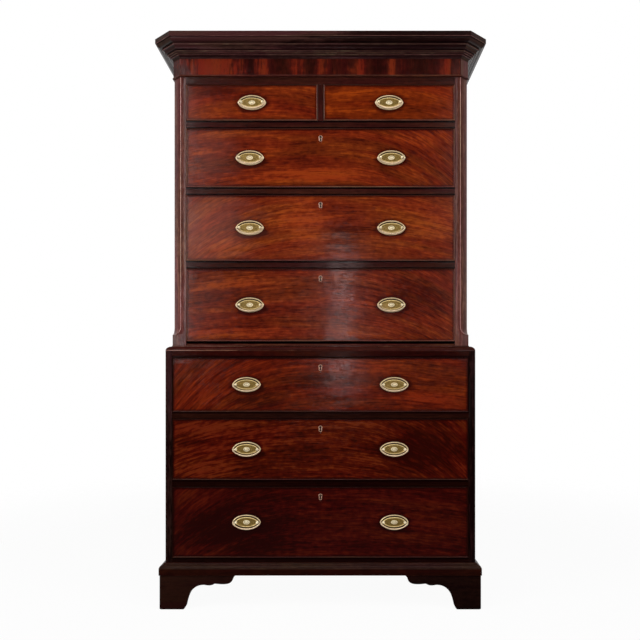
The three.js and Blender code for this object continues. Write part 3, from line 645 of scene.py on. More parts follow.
def photographer():
    """A camera level with the drawers, and softboxes round it."""
    bpy.context.scene.view_settings.view_transform = "Standard"
    camera = bpy.data.objects.new("camera", bpy.data.cameras.new("camera"))
    for setting, value in CAMERA.items():
        setattr(camera.data, setting, value)
    camera.location = CAMERA_PLACE
    camera.rotation_euler = (math.pi / 2, 0, 0)
    bpy.context.scene.collection.objects.link(camera)
    bpy.context.scene.camera = camera
    for name, (place, target, wide, high, power, colour) in SOFTBOXES.items():
        light = bpy.data.lights.new(name, "AREA")
        light.shape = "RECTANGLE"
        light.size, light.size_y = wide, high
        light.energy = power
        light.color = colour
        obj = bpy.data.objects.new(name, light)
        obj.location = place
        obj.rotation_euler = (Vector(target) - Vector(place)).to_track_quat("-Z", "Y").to_euler()
        bpy.context.scene.collection.objects.link(obj)


def surroundings():
    """A world that is white to the camera, and for reflections white behind the chest and dark before it."""
    world = bpy.data.worlds.new("studio")
    bpy.context.scene.world = world
    world.use_nodes = True
    net = Net(world.node_tree)
    camera_ray, shown = seen_rays(net)
    towards = net.split(net.add("TexCoord", "Generated"))[1]
    reflected = net.math("MULTIPLY_ADD", net.smooth(towards, *WORLD_TURN), 1 - WORLD_DARK, WORLD_DARK)
    strength = shown * reflected + (1.0 - shown) * AMBIENT
    net.fill(world.node_tree.nodes["Background"], Color=(1, 1, 1, 1),
             Strength=net.math("MAXIMUM", camera_ray, strength))


def floor():
    """A pale floor that fades out at a distance."""
    bm = bmesh.new()
    bmesh.ops.create_grid(bm, x_segments=1, y_segments=1, size=FLOOR_HALF)
    mesh = bpy.data.meshes.new("floor")
    bm.to_mesh(mesh)
    bm.free()
    obj = bpy.data.objects.new("floor", mesh)
    bpy.context.scene.collection.objects.link(obj)
    material, net, shader = new_material("pale floor")
    net.fill(shader, Base_Color=tone(226, 225, 223), Roughness=0.9, Specular_IOR_Level=0.0)
    camera_ray, shown = seen_rays(net)
    place = net.add("TexCoord", "Object")
    rear = net.smooth(net.split(place)[1], *FLOOR_TURN)
    bright = net.math("MAXIMUM", camera_ray, net.math("MULTIPLY_ADD", rear, 1 - FLOOR_DARK, FLOOR_DARK))
    glow = net.add("Emission", Color=(1, 1, 1, 1), Strength=bright)
    share = camera_ray * FLOOR_GLOW + shown * FLOOR_GLOW
    lit = net.add("MixShader", terms=(share, Value(net, shader.outputs[0]), glow))
    away = net.smooth(net.vector("LENGTH", place), *FLOOR_FADE)
    faded = net.add("MixShader", terms=(away, lit, net.add("BsdfTransparent")))
    net.fill(net.tree.nodes["Material Output"], Surface=faded)
    mesh.materials.append(material)


photographer()
surroundings()
floor()


# Finishes

# Each drawer front: its colour, how far its grain rises at the left end and falls at the right, and its light and dark
# passages; where they differ, how strongly it is figured, its golden lights and where a painted sheen of the left lamps
# lies
# The tones darken from the top drawers down: painted shade for the light falling off towards the floor
FRONTS = {
    "short_left": {
        "tone": (97, 30, 11), "rise": 1.2, "fall": 1.0,
        "patches": [(-0.12, 0.038, 0.13, 0.026, -0.4), (0.14, 0.044, 0.1, 0.02, 0.15), (-0.13, -0.04, 0.1, 0.02, 0.15),
                    (0.13, 0.0, 0.08, 0.03, -0.2)]},
    "short_right": {
        "tone": (97, 29, 8), "rise": 0.4, "fall": 2.0,
        "patches": [(-0.12, 0.03, 0.1, 0.03, 0.2), (0.12, -0.02, 0.1, 0.015, -0.3), (-0.08, -0.04, 0.1, 0.02, 0.2)]},
    "upper_1": {
        "tone": (93, 30, 11), "rise": 0.3, "fall": 1.25, "streak": 1.1, "painted_sheen": [(-0.4, 0.0, 0.14, 0.12, 0.07)],
        "patches": [(-0.32, -0.005, 0.1, 0.05, -0.4), (-0.39, 0.022, 0.08, 0.015, 0.45),
                    (-0.28, 0.078, 0.2, 0.014, 0.2), (-0.05, -0.062, 0.2, 0.03, 0.4), (-0.06, 0.015, 0.09, 0.05, -0.3),
                    (0.35, 0.065, 0.12, 0.025, 0.35), (0.12, 0.03, 0.1, 0.04, -0.15)]},
    "upper_2": {
        "tone": (98, 34, 14), "rise": 1.15, "fall": 0.4, "painted_sheen": [(-0.37, 0.0, 0.17, 0.14, 0.14)],
        "patches": [(-0.34, -0.06, 0.12, 0.03, 0.25), (-0.27, 0.0, 0.05, 0.04, -0.25), (-0.06, 0.03, 0.1, 0.09, 0.3),
                    (0.08, -0.03, 0.07, 0.08, -0.35), (0.34, 0.0, 0.13, 0.05, 0.25)]},
    "upper_3": {
        "tone": (91, 29, 13), "rise": 0.2, "fall": 1.0, "streak": 1.15, "painted_sheen": [(-0.39, 0.0, 0.1, 0.14, 0.04)],
        "patches": [(-0.25, 0.075, 0.18, 0.025, 0.35), (-0.3, -0.09, 0.18, 0.02, 0.35),
                    (-0.27, 0.035, 0.18, 0.02, -0.25), (0.33, 0.03, 0.13, 0.08, -0.4), (0.14, 0.0, 0.08, 0.03, 0.25)]},
    "lower_1": {
        "tone": (80, 22, 8), "rise": 1.5, "fall": 0.2, "streak": 1.3,
        "patches": [(-0.2, -0.052, 0.12, 0.03, -0.45), (-0.38, -0.04, 0.1, 0.04, 0.2),
                    (0.33, -0.045, 0.16, 0.025, 0.35), (0.36, 0.004, 0.14, 0.012, -0.35), (0.2, 0.06, 0.1, 0.02, 0.25),
                    (-0.02, 0.0, 0.09, 0.06, -0.25)]},
    "lower_2": {
        "tone": (64, 11, 3), "light": (94, 31, 12), "rise": 0.5, "fall": 1.2, "streak": 1.6,
        "patches": [(-0.38, -0.06, 0.12, 0.035, 0.55), (-0.36, 0.07, 0.14, 0.03, 0.5), (-0.3, 0.0, 0.12, 0.02, 0.35),
                    (-0.4, 0.02, 0.08, 0.014, -0.4), (-0.2, -0.06, 0.07, 0.03, -0.3), (0.34, 0.0, 0.15, 0.09, -0.7),
                    (0.2, 0.088, 0.1, 0.014, 0.4), (-0.06, -0.01, 0.1, 0.06, -0.2)]},
    "lower_3": {
        "tone": (51, 6, 3), "light": (74, 19, 7), "rise": 1.1, "fall": 0.2, "streak": 1.5,
        "patches": [(-0.26, -0.03, 0.22, 0.09, -0.75), (0.3, -0.02, 0.22, 0.06, 0.2), (-0.38, -0.09, 0.12, 0.022, 0.35),
                    (-0.42, 0.08, 0.05, 0.04, 0.3)]},
}
# Half sizes and strength of the soiling and painted shadow round a plate, and half height and strength of the painted
# shadow under and over the drawers
PLATE_SOIL_AND_SHADOW = (0.050, 0.029, -2.6)
UNDER_SHADOW = (0.0055, -2.6)
OVER_SHADOW = (0.0038, -2.4)
ALL_ALONG = 3.0


def soil_and_shadow_round_plates(drawer):
    """Dark passages round the handle plates, a little low and to the right: dirty old polish and a painted shadow of
    the plates.
    """
    low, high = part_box(f"{drawer}_front")
    middle = (low + high) / 2
    painted_shade = []
    for tag in tags_of(drawer):
        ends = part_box(f"{drawer}_plate{tag}")
        place = (ends[0] + ends[1]) / 2 - middle
        painted_shade.append((place.x + 0.002, place.z - 0.002, *PLATE_SOIL_AND_SHADOW))
    return painted_shade


def painted_gap_shadows(under=(), over=()):
    """Painted shadows: dark lines along the rails, right under the drawers of some rows and right over those of others.
    """
    lines = [(0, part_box(f"{row}_front")[0].z - MM, ALL_ALONG, *UNDER_SHADOW) for row in under]
    return lines + [(0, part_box(f"{row}_front")[1].z + MM, ALL_ALONG, *OVER_SHADOW) for row in over]


front_finish = {}
for number, drawer in enumerate(DRAWERS):
    look = dict(FRONTS[drawer])
    low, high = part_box(f"{drawer}_front")
    shades = shades_of(*look.pop("tone"))
    shades[2] = look.pop("light", shades[2])
    look["patches"] = look["patches"] + soil_and_shadow_round_plates(drawer)
    front_finish[drawer] = mahogany(f"{drawer} veneer", shades, 11.0 + 5.3 * number, place=tuple((low + high) / 2),
                                    field=((high.x - low.x) / 2, (high.z - low.z) / 2), **look)

RAIL_SHADES = [(14, 4, 4), (46, 17, 14), (70, 32, 27)]
# The upper case's bottom rail: a lip painted lighter as lit, and over it a rebate painted nearly black as shade
lip_finish = mahogany("upper bottom rail", shades_of(74, 36, 29), 59.0, specular=0.042)
rebate_shade_finish = mahogany("rebate over the bottom rail in painted shade", shades_of(8, 2, 1), 60.0, specular=0.0)
# The patches paint shadows along the rails in the gaps under and over the drawers
rail_finish = mahogany("upper rails", RAIL_SHADES, 61.0, streak=0.7,
                       patches=painted_gap_shadows(["upper_2", "upper_1", "short_left"], ["upper_3", "upper_2", "upper_1"]))
muntin_finish = mahogany("muntin", RAIL_SHADES, 62.0, turn=UPRIGHT, streak=0.7)
# The patch paints a sheen on the lower part of both posts
post_finish = mahogany("corner posts", [(42, 17, 16), (75, 36, 33), (120, 75, 69)], 64.0, turn=UPRIGHT, streak=0.7,
                       specular=0.19, patches=[(1.02, 0, 0.2, ALL_ALONG, 0.3)])
# Pale finish for the rubbed arrises: lighter as wear and as a painted highlight
arris_wear_and_highlight_finish = mahogany("rubbed arrises with painted highlight", [(96, 66, 62), (150, 114, 108), (198, 160, 152)], 65.0, turn=UPRIGHT,
                        edge=0.3, dirt_and_shade=0.3)
# The patches paint the left facing lighter, most near its top: a painted sheen from the left lamps
facing_finish = mahogany("lower facings", [(10, 2, 2), (15, 4, 4), (44, 24, 24)], 66.0, turn=UPRIGHT, specular=0.028,
                         patches=[(0.8, 0.49, 0.16, 0.1, 0.9), (0.35, 0.49, 0.5, 0.1, 0.25)])
# The lower rails from the base up: colour, seed, gloss and the painted shadows in the gaps at their drawers
low_rail_finish = {
    name: mahogany(name.replace("_", " "), shades_of(*colour), seed, specular=gloss, patches=painted_shade)
    for name, colour, seed, gloss, painted_shade in (
        ("lower_bottom_rail", (20, 5, 4), 70.0, 0.025, painted_gap_shadows(["lower_3"])),
        ("lower_divider_2", (20, 4, 3), 69.0, 0.025, painted_gap_shadows(["lower_2"])),
        ("lower_divider_1", (30, 9, 7), 68.0, 0.042, painted_gap_shadows(["lower_1"])),
        # A painted shadow along the gap over the top drawer of the lower case
        ("lower_top_rail", (38, 9, 6), 67.0, 0.034, [(0, WAIST_LOW - 0.022, ALL_ALONG, 0.006, -2.6)]))
}
upper_side_finish = mahogany("upper sides", shades_of(66, 25, 17), 71.0, turn=UPRIGHT, core=UPPER_HALF - 5 * MM)
lower_side_finish = mahogany("lower sides", shades_of(50, 18, 12), 72.0, turn=UPRIGHT, core=LOWER_HALF - 5 * MM)
# The cock beads of each case: as they are, paler partly as wear and partly as a painted highlight, and darker as
# painted shade where they stand in shade
BEAD = {"streak": 0.5, "edge": 0.3}
bead_finish = {
    "upper": [mahogany("upper cock beads", shades_of(106, 62, 54), 73.0, dirt_and_shade=0.6, **BEAD),
              mahogany("upper cock beads in the grime", shades_of(60, 24, 18), 73.5, specular=0.06, **BEAD)],
    "lower": [mahogany("lower cock beads", shades_of(66, 32, 28), 74.0, dirt_and_shade=0.6, **BEAD),
              mahogany("lower cock beads in the grime", shades_of(34, 11, 8), 74.5, specular=0.05, **BEAD)],
}
DULL = {"specular": 0.09, "rough": 0.2}
# Painted light on the left of the cornice's front, fading to painted shade on the right
CORNICE_LIGHT_AND_SHADE = [(-0.33, CORNICE_TOP, 0.3, 0.05, 2.0), (-0.05, CORNICE_TOP, 0.2, 0.03, 0.7),
                    (0.3, CORNICE_TOP, 0.35, 0.06, -0.4)]
cornice_side_finish = mahogany("cornice on the sides", shades_of(38, 18, 14), 78.0, turn=ACROSS, **DULL)
cornice_finish = {
    "front": mahogany("cornice along the front", [(21, 6, 7), (32, 13, 14), (60, 34, 34)], 75.0,
                      patches=CORNICE_LIGHT_AND_SHADE, **DULL),
    "left_cant": mahogany("cornice on the left cant", shades_of(36, 18, 16), 76.0, turn=(0, 0, 45), **DULL),
    "right_cant": mahogany("cornice on the right cant", shades_of(44, 24, 22), 77.0, turn=(0, 0, -45), **DULL),
    "left_side": cornice_side_finish, "right_side": cornice_side_finish,
}
# Pale finish for the cornice's rubbed arrises: lighter as wear and as a painted highlight
cornice_arris_wear_and_highlight_finish = mahogany("rubbed cornice arrises with painted highlight", shades_of(98, 63, 62), 79.0, edge=0.3, dirt_and_shade=0.4)
neck_finish = mahogany("necking bead", shades_of(66, 30, 25), 80.0, specular=0.063)
# Light and dark bars of the crossbanding: across from the middle, half width, strength
# The broad light bar at the left end and the dark one near the right end partly paint the frieze lighter towards the
# left lamps
FRIEZE_BARS = [(-0.355, 0.09, 0.85), (-0.231, 0.014, -0.5), (-0.19, 0.022, 0.4), (-0.133, 0.03, -0.4),
               (-0.077, 0.025, 0.3), (-0.034, 0.016, -0.5), (0.0, 0.015, 0.4), (0.07, 0.03, -0.2), (0.133, 0.02, 0.4),
               (0.19, 0.03, -0.4), (0.234, 0.012, 0.7), (0.32, 0.06, -0.4), (0.417, 0.012, 0.7)]
frieze_finish = mahogany("frieze crossbanding", [(32, 8, 6), (54, 15, 11), (102, 32, 17)], 81.0,
                         place=(0, UPPER_FRONT, 1.766), turn=UPRIGHT, streak=0.9, ripple=0.5,
                         patches=[(0, -x, 0.1, wide, amount) for x, wide, amount in FRIEZE_BARS])
frieze_lit_finish = mahogany("frieze on the right cant", [(54, 26, 24), (86, 50, 46), (116, 76, 70)], 82.0,
                             turn=UPRIGHT, streak=0.7)
waist_finish = [
    mahogany("waist moulding", shades_of(52, 19, 13), 83.0, rough=0.2, specular=0.036),
    # Pale finish for the waist's arrises: lighter as wear and as a painted highlight, stronger at the left and weaker
    # in the middle
    mahogany("rubbed waist arrises with painted highlight", [(33, 11, 9), (54, 23, 19), (108, 68, 62)], 84.0, edge=0.3, dirt_and_shade=0.4,
             patches=[(-0.4, WAIST_TOP, 0.2, 0.05, 0.7), (0.0, WAIST_TOP, 0.25, 0.05, -0.2)])]
base_finish = [mahogany("base moulding", shades_of(31, 8, 5), 85.0, rough=0.2, specular=0.034),
               # Paler finish for the ovolo: worn and painted as a highlight
               mahogany("rubbed base ovolo with painted highlight", shades_of(40, 21, 18), 86.0, rough=0.3, specular=0.07)]
# The patches paint light on the left feet and shade on the right ones
foot_finish = mahogany("feet along the front", shades_of(24, 8, 7), 87.0, rough=0.3, specular=0.025,
                       patches=[(-0.45, 0.05, 0.3, 0.2, 0.7), (0.45, 0.05, 0.3, 0.2, -0.25)])
foot_side_finish = mahogany("feet along the sides", shades_of(24, 9, 8), 88.0, turn=ACROSS, rough=0.3, specular=0.025)
oak_finish = timber("drawer oak", *OAK, 91.0, turn=ACROSS, backs=True)
pine_finish = timber("pine boards", (138, 104, 66), (104, 72, 42), 93.0, turn=UPRIGHT, pitch=0.7, rough=0.85)
pine_flat_finish = timber("pine shelves", (128, 96, 62), (98, 68, 40), 95.0, pitch=0.7, rough=0.85)
# Blackened brass: patina in the plates' grooves, and painted shade on the walls deep in the keyholes
groove_patina_and_keyhole_shade_finish = brass("brass blackened in the groove, painted dark in the keyhole", (44, 28, 13), (18, 10, 6), 0.5, 0.5)
plate_finish = [brass("stamped brass", (248, 220, 176), (136, 108, 64), 0.42, 0.4),
                brass("brass in the recesses", (150, 122, 62), (62, 44, 18), 0.5, 0.5), groove_patina_and_keyhole_shade_finish,
                brass("inner ring brass", (232, 204, 142), (128, 102, 54), 0.4, 0.45),
                brass("rubbed brass", (255, 240, 202), (112, 88, 48), 0.6, 0.4)]
wire_finish = brass("bail brass", (244, 214, 178), (130, 102, 64), 0.25, 0.45)
thread_finish = brass("lock and nut brass", (190, 158, 118), (110, 84, 52), 0.35, 0.6)
keyhole_rim_finish = brass("keyhole brass", (196, 150, 128), (130, 92, 74), 0.35, 0.3)
iron = rusty_iron()

repainted = {f"{drawer}_box": oak_finish for drawer in DRAWERS}
repainted["upper_bottom"] = pine_flat_finish
for hand in ("left", "right"):
    repainted[f"upper_{hand}_side"] = upper_side_finish
    repainted[f"lower_{hand}_side"] = lower_side_finish
for node, finish in repainted.items():
    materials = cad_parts[node].data.materials
    materials.clear()
    materials.append(finish)


# Drawer fronts, cock beads, keyhole linings and locks

BEAD_WIDE = 2.6 * MM
BEAD_PROUD = 2.0 * MM
BEAD_STEPS = 8
# Which strips of a cock bead are painted dark as standing in shade, counted from the bottom one round by the right
BEADS_IN_SHADE = {"upper": (2,), "lower": (1, 2, 3)}
KEYHOLE_DROP = 29 * MM
THREAD_DROP = 28.2 * MM
THREAD_DEEP = 12 * MM
THREAD_PROUD = 0.4 * MM
CREST_PROUD = 0.9 * MM
# Radius of the round, half width of the neck and of the foot, length below the centre and bulge of the foot, in mm
KEYHOLE = (6.7, 3.6, 3.6, 18.6, 0.0)
THREAD_OUTSIDE = (6.1, 5.2, 5.2, 10.6, 3.6)
THREAD_CREST = (5.4, 4.4, 4.6, 10.4, 3.1)
THREAD_INSIDE = (4.4, 1.3, 3.7, 10.0, 2.6)
# Half width of a lock's part, its depths behind the face, and its levels over the top of the front
LOCK_BACK = 0.0235
LOCK_CASE = (0.034, 0.012, LOCK_BACK, -0.056, -0.0012)
LOCK_SELVEDGE = (0.040, 0.0115, LOCK_BACK, -0.0012, 0.0002)
LOCK_BOLT = (0.009, 0.0145, 0.0205, -0.001, 0.0006)
PIN_IN = 12.5 * MM
LOCK_PIN = [(0.0, 0.0), (0.0016, 0.0), (0.0016, 0.009), (0.001, 0.0098), (0.0, 0.0098)]
SCREW_HEAD = [(0.0, 0.001), (0.0024, 0.001), (0.0024, 0.0), (0.0018, -0.0007), (0.0, -0.0009)]
SCREW_OUT = 0.029
SCREW_DROPS = (0.012, 0.050)


def drawer_piece(drawer, part, bm, finishes, stands_for=(), smooth=30):
    """A piece that slides with its drawer."""
    piece(f"{drawer}_{part}", bm, f"{drawer}_drawer", finishes, stands_for, smooth)


def drawer_front(drawer, face, top):
    """The front without its beads: the machined board cut back to its face."""
    bm = bmesh.new()
    bm.from_mesh(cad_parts[f"{drawer}_front"].data)
    bmesh.ops.remove_doubles(bm, verts=bm.verts, dist=1e-5)
    bmesh.ops.bisect_plane(bm, geom=bm.verts[:] + bm.edges[:] + bm.faces[:], dist=1e-5, plane_co=(0, face, 0),
                           plane_no=(0, -1, 0), clear_outer=True)
    rim = [edge for edge in bm.edges if edge.is_boundary]
    bmesh.ops.triangle_fill(bm, edges=rim, use_beauty=True)
    if drawer in LONG_DRAWERS:
        hole, thread = top - KEYHOLE_DROP, top - THREAD_DROP
        keyhole_rings(bm, [(KEYHOLE, hole, face + THREAD_DEEP), (KEYHOLE, hole, face), (THREAD_OUTSIDE, thread, face),
                           (THREAD_OUTSIDE, thread, face + THREAD_DEEP)])
    drawer_piece(drawer, "front_board", bm, front_finish[drawer], [f"{drawer}_front"], 20)


def cock_bead(drawer, face):
    """Four mitred strips with rounded noses round a front."""
    low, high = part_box(f"{drawer}_front")
    radius = BEAD_WIDE / 2
    nose = [i / BEAD_STEPS * math.pi for i in range(BEAD_STEPS + 1)]
    profile = [(radius - radius * math.cos(turn), BEAD_PROUD - radius + radius * math.sin(turn)) for turn in nose]
    profile = [(0, 0)] + profile + [(BEAD_WIDE, 0)]
    corners = [((low.x, low.z), (1, 1)), ((high.x, low.z), (-1, 1)), ((high.x, high.z), (-1, -1)),
               ((low.x, high.z), (1, -1))]
    bm = bmesh.new()

    def ring(corner):
        (x, z), (across, rise) = corner
        return [(x + across * inward, face - out, z + rise * inward) for inward, out in profile]

    case = "lower" if drawer.startswith("lower") else "upper"
    for i, corner in enumerate(corners):
        before = set(bm.faces)
        extruded(bm, ring(corner), ring(corners[(i + 1) % 4]))
        # Strips in shade take the dark copy of the bead's finish: painted shade
        if i in BEADS_IN_SHADE[case]:
            painted(bm, before)
    drawer_piece(drawer, "cock_bead", bm, bead_finish[case], smooth=32)


def keyhole_points(sizes, z, steps=18, foot=6):
    """A keyhole's outline round a centre: most of a circle over a slot with a rounded foot."""
    radius, neck, flare, length, bulge = (size * MM for size in sizes)
    start = math.asin(neck / radius)
    points = []
    for i in range(steps + 1):
        turn = -math.pi / 2 + start + (math.tau - 2 * start) * i / steps
        points.append((radius * math.cos(turn), z + radius * math.sin(turn)))
    for i in range(foot + 1):
        turn = math.pi + math.pi * i / foot
        points.append((flare * math.cos(turn), z - length + bulge * math.sin(turn)))
    return points


def keyhole_rings(bm, rows):
    """A closed ring through keyhole outlines, each given as (sizes, height of its centre, depth)."""
    loops = []
    for sizes, z, y in rows:
        verts = [bm.verts.new((x, y, height)) for x, height in keyhole_points(sizes, z)]
        loops.append([bm.edges.new(pair) for pair in zip(verts, verts[1:] + verts[:1])])
    for first, second in zip(loops, loops[1:] + loops[:1]):
        bmesh.ops.bridge_loops(bm, edges=first + second)


def keyhole_lining(drawer, face, top):
    """A brass thread let in round the keyhole, standing a little proud of the front."""
    z = top - THREAD_DROP
    bm = bmesh.new()
    keyhole_rings(bm, [(THREAD_OUTSIDE, z, face + THREAD_DEEP), (THREAD_OUTSIDE, z, face - THREAD_PROUD),
                       (THREAD_CREST, z, face - CREST_PROUD), (THREAD_INSIDE, z, face - THREAD_PROUD),
                       (THREAD_INSIDE, z, face + THREAD_DEEP)])
    # The walls deep in the keyhole take blackened brass: painted shade for the dark hole
    for wall in bm.faces:
        if wall.calc_center_median().y > face + MM:
            wall.material_index = 1
    drawer_piece(drawer, "keyhole_lining", bm, [keyhole_rim_finish, groove_patina_and_keyhole_shade_finish], smooth=50)


def drawer_lock(drawer, face, top):
    """A lock let into the back of a front: case, selvedge in the top edge, bolt, key pin and screws."""
    def block(bm, half, near, far, low, high):
        slab(bm, (-half, face + near, top + low), (half, face + far, top + high))

    bm = bmesh.new()
    block(bm, *LOCK_CASE)
    block(bm, *LOCK_SELVEDGE)
    eased(bm, 0.4 * MM, 1)
    drawer_piece(drawer, "lock", bm, iron)
    bm = bmesh.new()
    block(bm, *LOCK_BOLT)
    eased(bm, 0.3 * MM, 1)
    lathe(bm, LOCK_PIN, (0, face + PIN_IN, top - KEYHOLE_DROP), "Y", 12)
    drawer_piece(drawer, "lock_bolt_and_pin", bm, thread_finish)
    bm = bmesh.new()
    for x in (-SCREW_OUT, SCREW_OUT):
        for drop in SCREW_DROPS:
            lathe(bm, SCREW_HEAD, (x, face + LOCK_BACK, top - drop), "Y", 12)
    drawer_piece(drawer, "lock_screws", bm, iron)


for drawer in DRAWERS:
    face, top = face_of(drawer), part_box(f"{drawer}_front")[1].z
    drawer_front(drawer, face, top)
    cock_bead(drawer, face)
    if drawer in LONG_DRAWERS:
        keyhole_lining(drawer, face, top)
        drawer_lock(drawer, face, top)


# Handles

PLATE_HALF = 46.5 * MM
PLATE_HIGH = 24 * MM
POST_SPREAD = 35 * MM
POST_REACH = 9.5 * MM
BALL = 4.3 * MM
PIN = 1.3 * MM
EYE = 1.6 * MM
SHOULDER = POST_SPREAD + BALL + 0.5 * MM
BAIL_BEND = 3.2 * MM
BAIL_DROP = 21 * MM
BAIL_THIN, BAIL_END, BAIL_THICK = 1.55 * MM, 1.8 * MM, 2.4 * MM
BEND_STEPS, BOW_STEPS, WIRE_SIDES, BALL_STEPS = 8, 20, 14, 12
NUT_DEPTH = 20 * MM
# The stamped relief from the back edge inward: shares of the half width and half height, mm of rise, and the finish
# of the ring before it, which is 0 for rubbed brass, 1 for a recess, 2 for the blackened groove, 3 for the inner ring
# and 4 for the rubbed rosette
RELIEF = [
    (1.0, 1.0, 0.0, 0), (1.0, 1.0, 0.9, 0), (0.99, 0.985, 1.7, 0), (0.978, 0.965, 2.3, 0), (0.965, 0.94, 2.5, 0),
    (0.95, 0.915, 2.3, 0), (0.935, 0.89, 1.5, 0), (0.92, 0.865, 0.8, 0), (0.9, 0.83, 0.6, 2),
    (0.84, 0.715, 0.6, 2), (0.825, 0.69, 0.8, 2), (0.81, 0.665, 1.8, 3), (0.79, 0.635, 2.6, 3), (0.77, 0.605, 2.8, 3),
    (0.75, 0.575, 2.5, 3), (0.735, 0.555, 1.8, 3), (0.71, 0.53, 1.2, 1), (0.6, 0.46, 1.1, 1),
    (0.48, 0.4, 1.1, 1), (0.3, 0.34, 1.4, 1),
]
ROSETTE = [(0.235, 0.285, 1.5, 1), (0.225, 0.275, 2.5, 4), (0.2, 0.24, 3.1, 4), (0.155, 0.185, 2.7, 4),
           (0.125, 0.15, 2.1, 1), (0.105, 0.13, 3.0, 4), (0.08, 0.1, 3.6, 4), (0.05, 0.065, 3.95, 4),
           (0.02, 0.03, 4.0, 4)]
RUBBED_BRASS = 4
PLATE_POINTED, ROSETTE_POINTED = 0.35, 0.25
PETALS = 14
PETAL_DEPTH = 0.05
SCALLOPED_RINGS = 4
AROUND = 112
# Turned parts as radii and distances: a post's neck, the nut behind the front and the end of the post in it
POST_NECK = [(0.0, 0.0008), (0.0042, 0.0008), (0.0044, 0.0016), (0.0040, 0.0024), (0.0030, 0.0029), (0.0023, 0.0036),
             (0.0022, 0.0052), (0.0022, 0.0062), (0.0, 0.0062)]
NUT = [(0.0, 0.0), (0.0065, 0.0), (0.0065, -0.0024), (0.0058, -0.003), (0.0, -0.003)]
POST_END = [(0.0, -0.0028), (0.0018, -0.0028), (0.0018, -0.0052), (0.0, -0.0056)]


def oval_points(wide, high, pointed):
    """Points round an oval whose ends are pointed by a share: 1 for two arcs, 0 for an ellipse."""
    sweep = 2 * math.atan(PLATE_HIGH / PLATE_HALF)
    points = []
    for i in range(AROUND):
        turn = i / AROUND * math.tau
        round_x, round_z = math.cos(turn), math.sin(turn)
        bow = sweep - 2 * sweep * (turn % math.pi) / math.pi
        arc_x = math.sin(bow) / math.sin(sweep)
        arc_z = (math.cos(bow) - math.cos(sweep)) / (1 - math.cos(sweep))
        if turn >= math.pi:
            arc_x, arc_z = -arc_x, -arc_z
        x = round_x + (arc_x - round_x) * pointed
        z = round_z + (arc_z - round_z) * pointed
        points.append((x * wide * PLATE_HALF, z * high * PLATE_HIGH))
    return points


def plate_mesh():
    """One stamped plate with its posts, at the origin, facing -Y."""
    bm = bmesh.new()
    rings = [[(x, -rise * MM, z) for x, z in oval_points(wide, high, PLATE_POINTED)] for wide, high, rise, _ in RELIEF]
    for i, (wide, high, rise, _) in enumerate(ROSETTE):
        depth = PETAL_DEPTH if i < SCALLOPED_RINGS else 0.0
        ring = []
        for k, (x, z) in enumerate(oval_points(wide, high, ROSETTE_POINTED)):
            scallop = 1 + depth * math.cos(k / AROUND * math.tau * PETALS)
            ring.append((x * scallop, -rise * MM, z * scallop))
        rings.append(ring)
    finishes = [row[3] for row in RELIEF + ROSETTE]
    lofted(bm, rings, lambda step, side: finishes[step + 1])
    half = math.sqrt(BALL ** 2 - EYE ** 2)
    levels = [-half + 2 * half * i / BALL_STEPS for i in range(1, BALL_STEPS)]
    arc = [(math.sqrt(BALL ** 2 - across ** 2), across) for across in levels]
    stamped = set(bm.faces)
    for side in (-1, 1):
        lathe(bm, POST_NECK, (side * POST_SPREAD, 0, 0), "Y", 20)
        lathe(bm, [(EYE, half), (EYE, -half)] + arc, (side * POST_SPREAD, -POST_REACH, 0), "X")
    painted(bm, stamped, RUBBED_BRASS)
    bmesh.ops.recalc_face_normals(bm, faces=bm.faces)
    return bm


def bail_mesh():
    """One bail hanging from its eyes, at the origin: pins, tight bends and a bow that swells to its middle."""
    half = 2 * math.atan((BAIL_DROP - 2 * BAIL_BEND) / SHOULDER)
    bow = SHOULDER / math.sin(half) + BAIL_BEND
    stations = [(POST_SPREAD - 2.5 * MM, 0, 0, PIN), (SHOULDER - 0.4 * MM, 0, 0, PIN)]
    for i in range(BEND_STEPS):
        turn = (math.pi - half) * i / BEND_STEPS
        stations.append((SHOULDER + BAIL_BEND * math.sin(turn), BAIL_BEND * (math.cos(turn) - 1), turn,
                         BAIL_THIN + (BAIL_END - BAIL_THIN) * min(i, 2) / 2))
    for i in range(BOW_STEPS + 1):
        turn = half - half * i / BOW_STEPS
        swell = (1 - math.cos(math.pi * i / BOW_STEPS)) / 2
        stations.append((bow * math.sin(turn), bow - BAIL_DROP - bow * math.cos(turn), math.pi - turn,
                         BAIL_END + (BAIL_THICK - BAIL_END) * swell))
    stations += [(-x, z, math.tau - turn, radius) for x, z, turn, radius in reversed(stations[:-1])]
    rings = []
    for x, z, turn, radius in stations:
        ring = []
        for k in range(WIRE_SIDES):
            across = radius * math.cos(k / WIRE_SIDES * math.tau)
            ring.append((x + across * math.sin(turn), radius * math.sin(k / WIRE_SIDES * math.tau),
                         z + across * math.cos(turn)))
        rings.append(ring)
    bm = bmesh.new()
    lofted(bm, rings)
    return bm


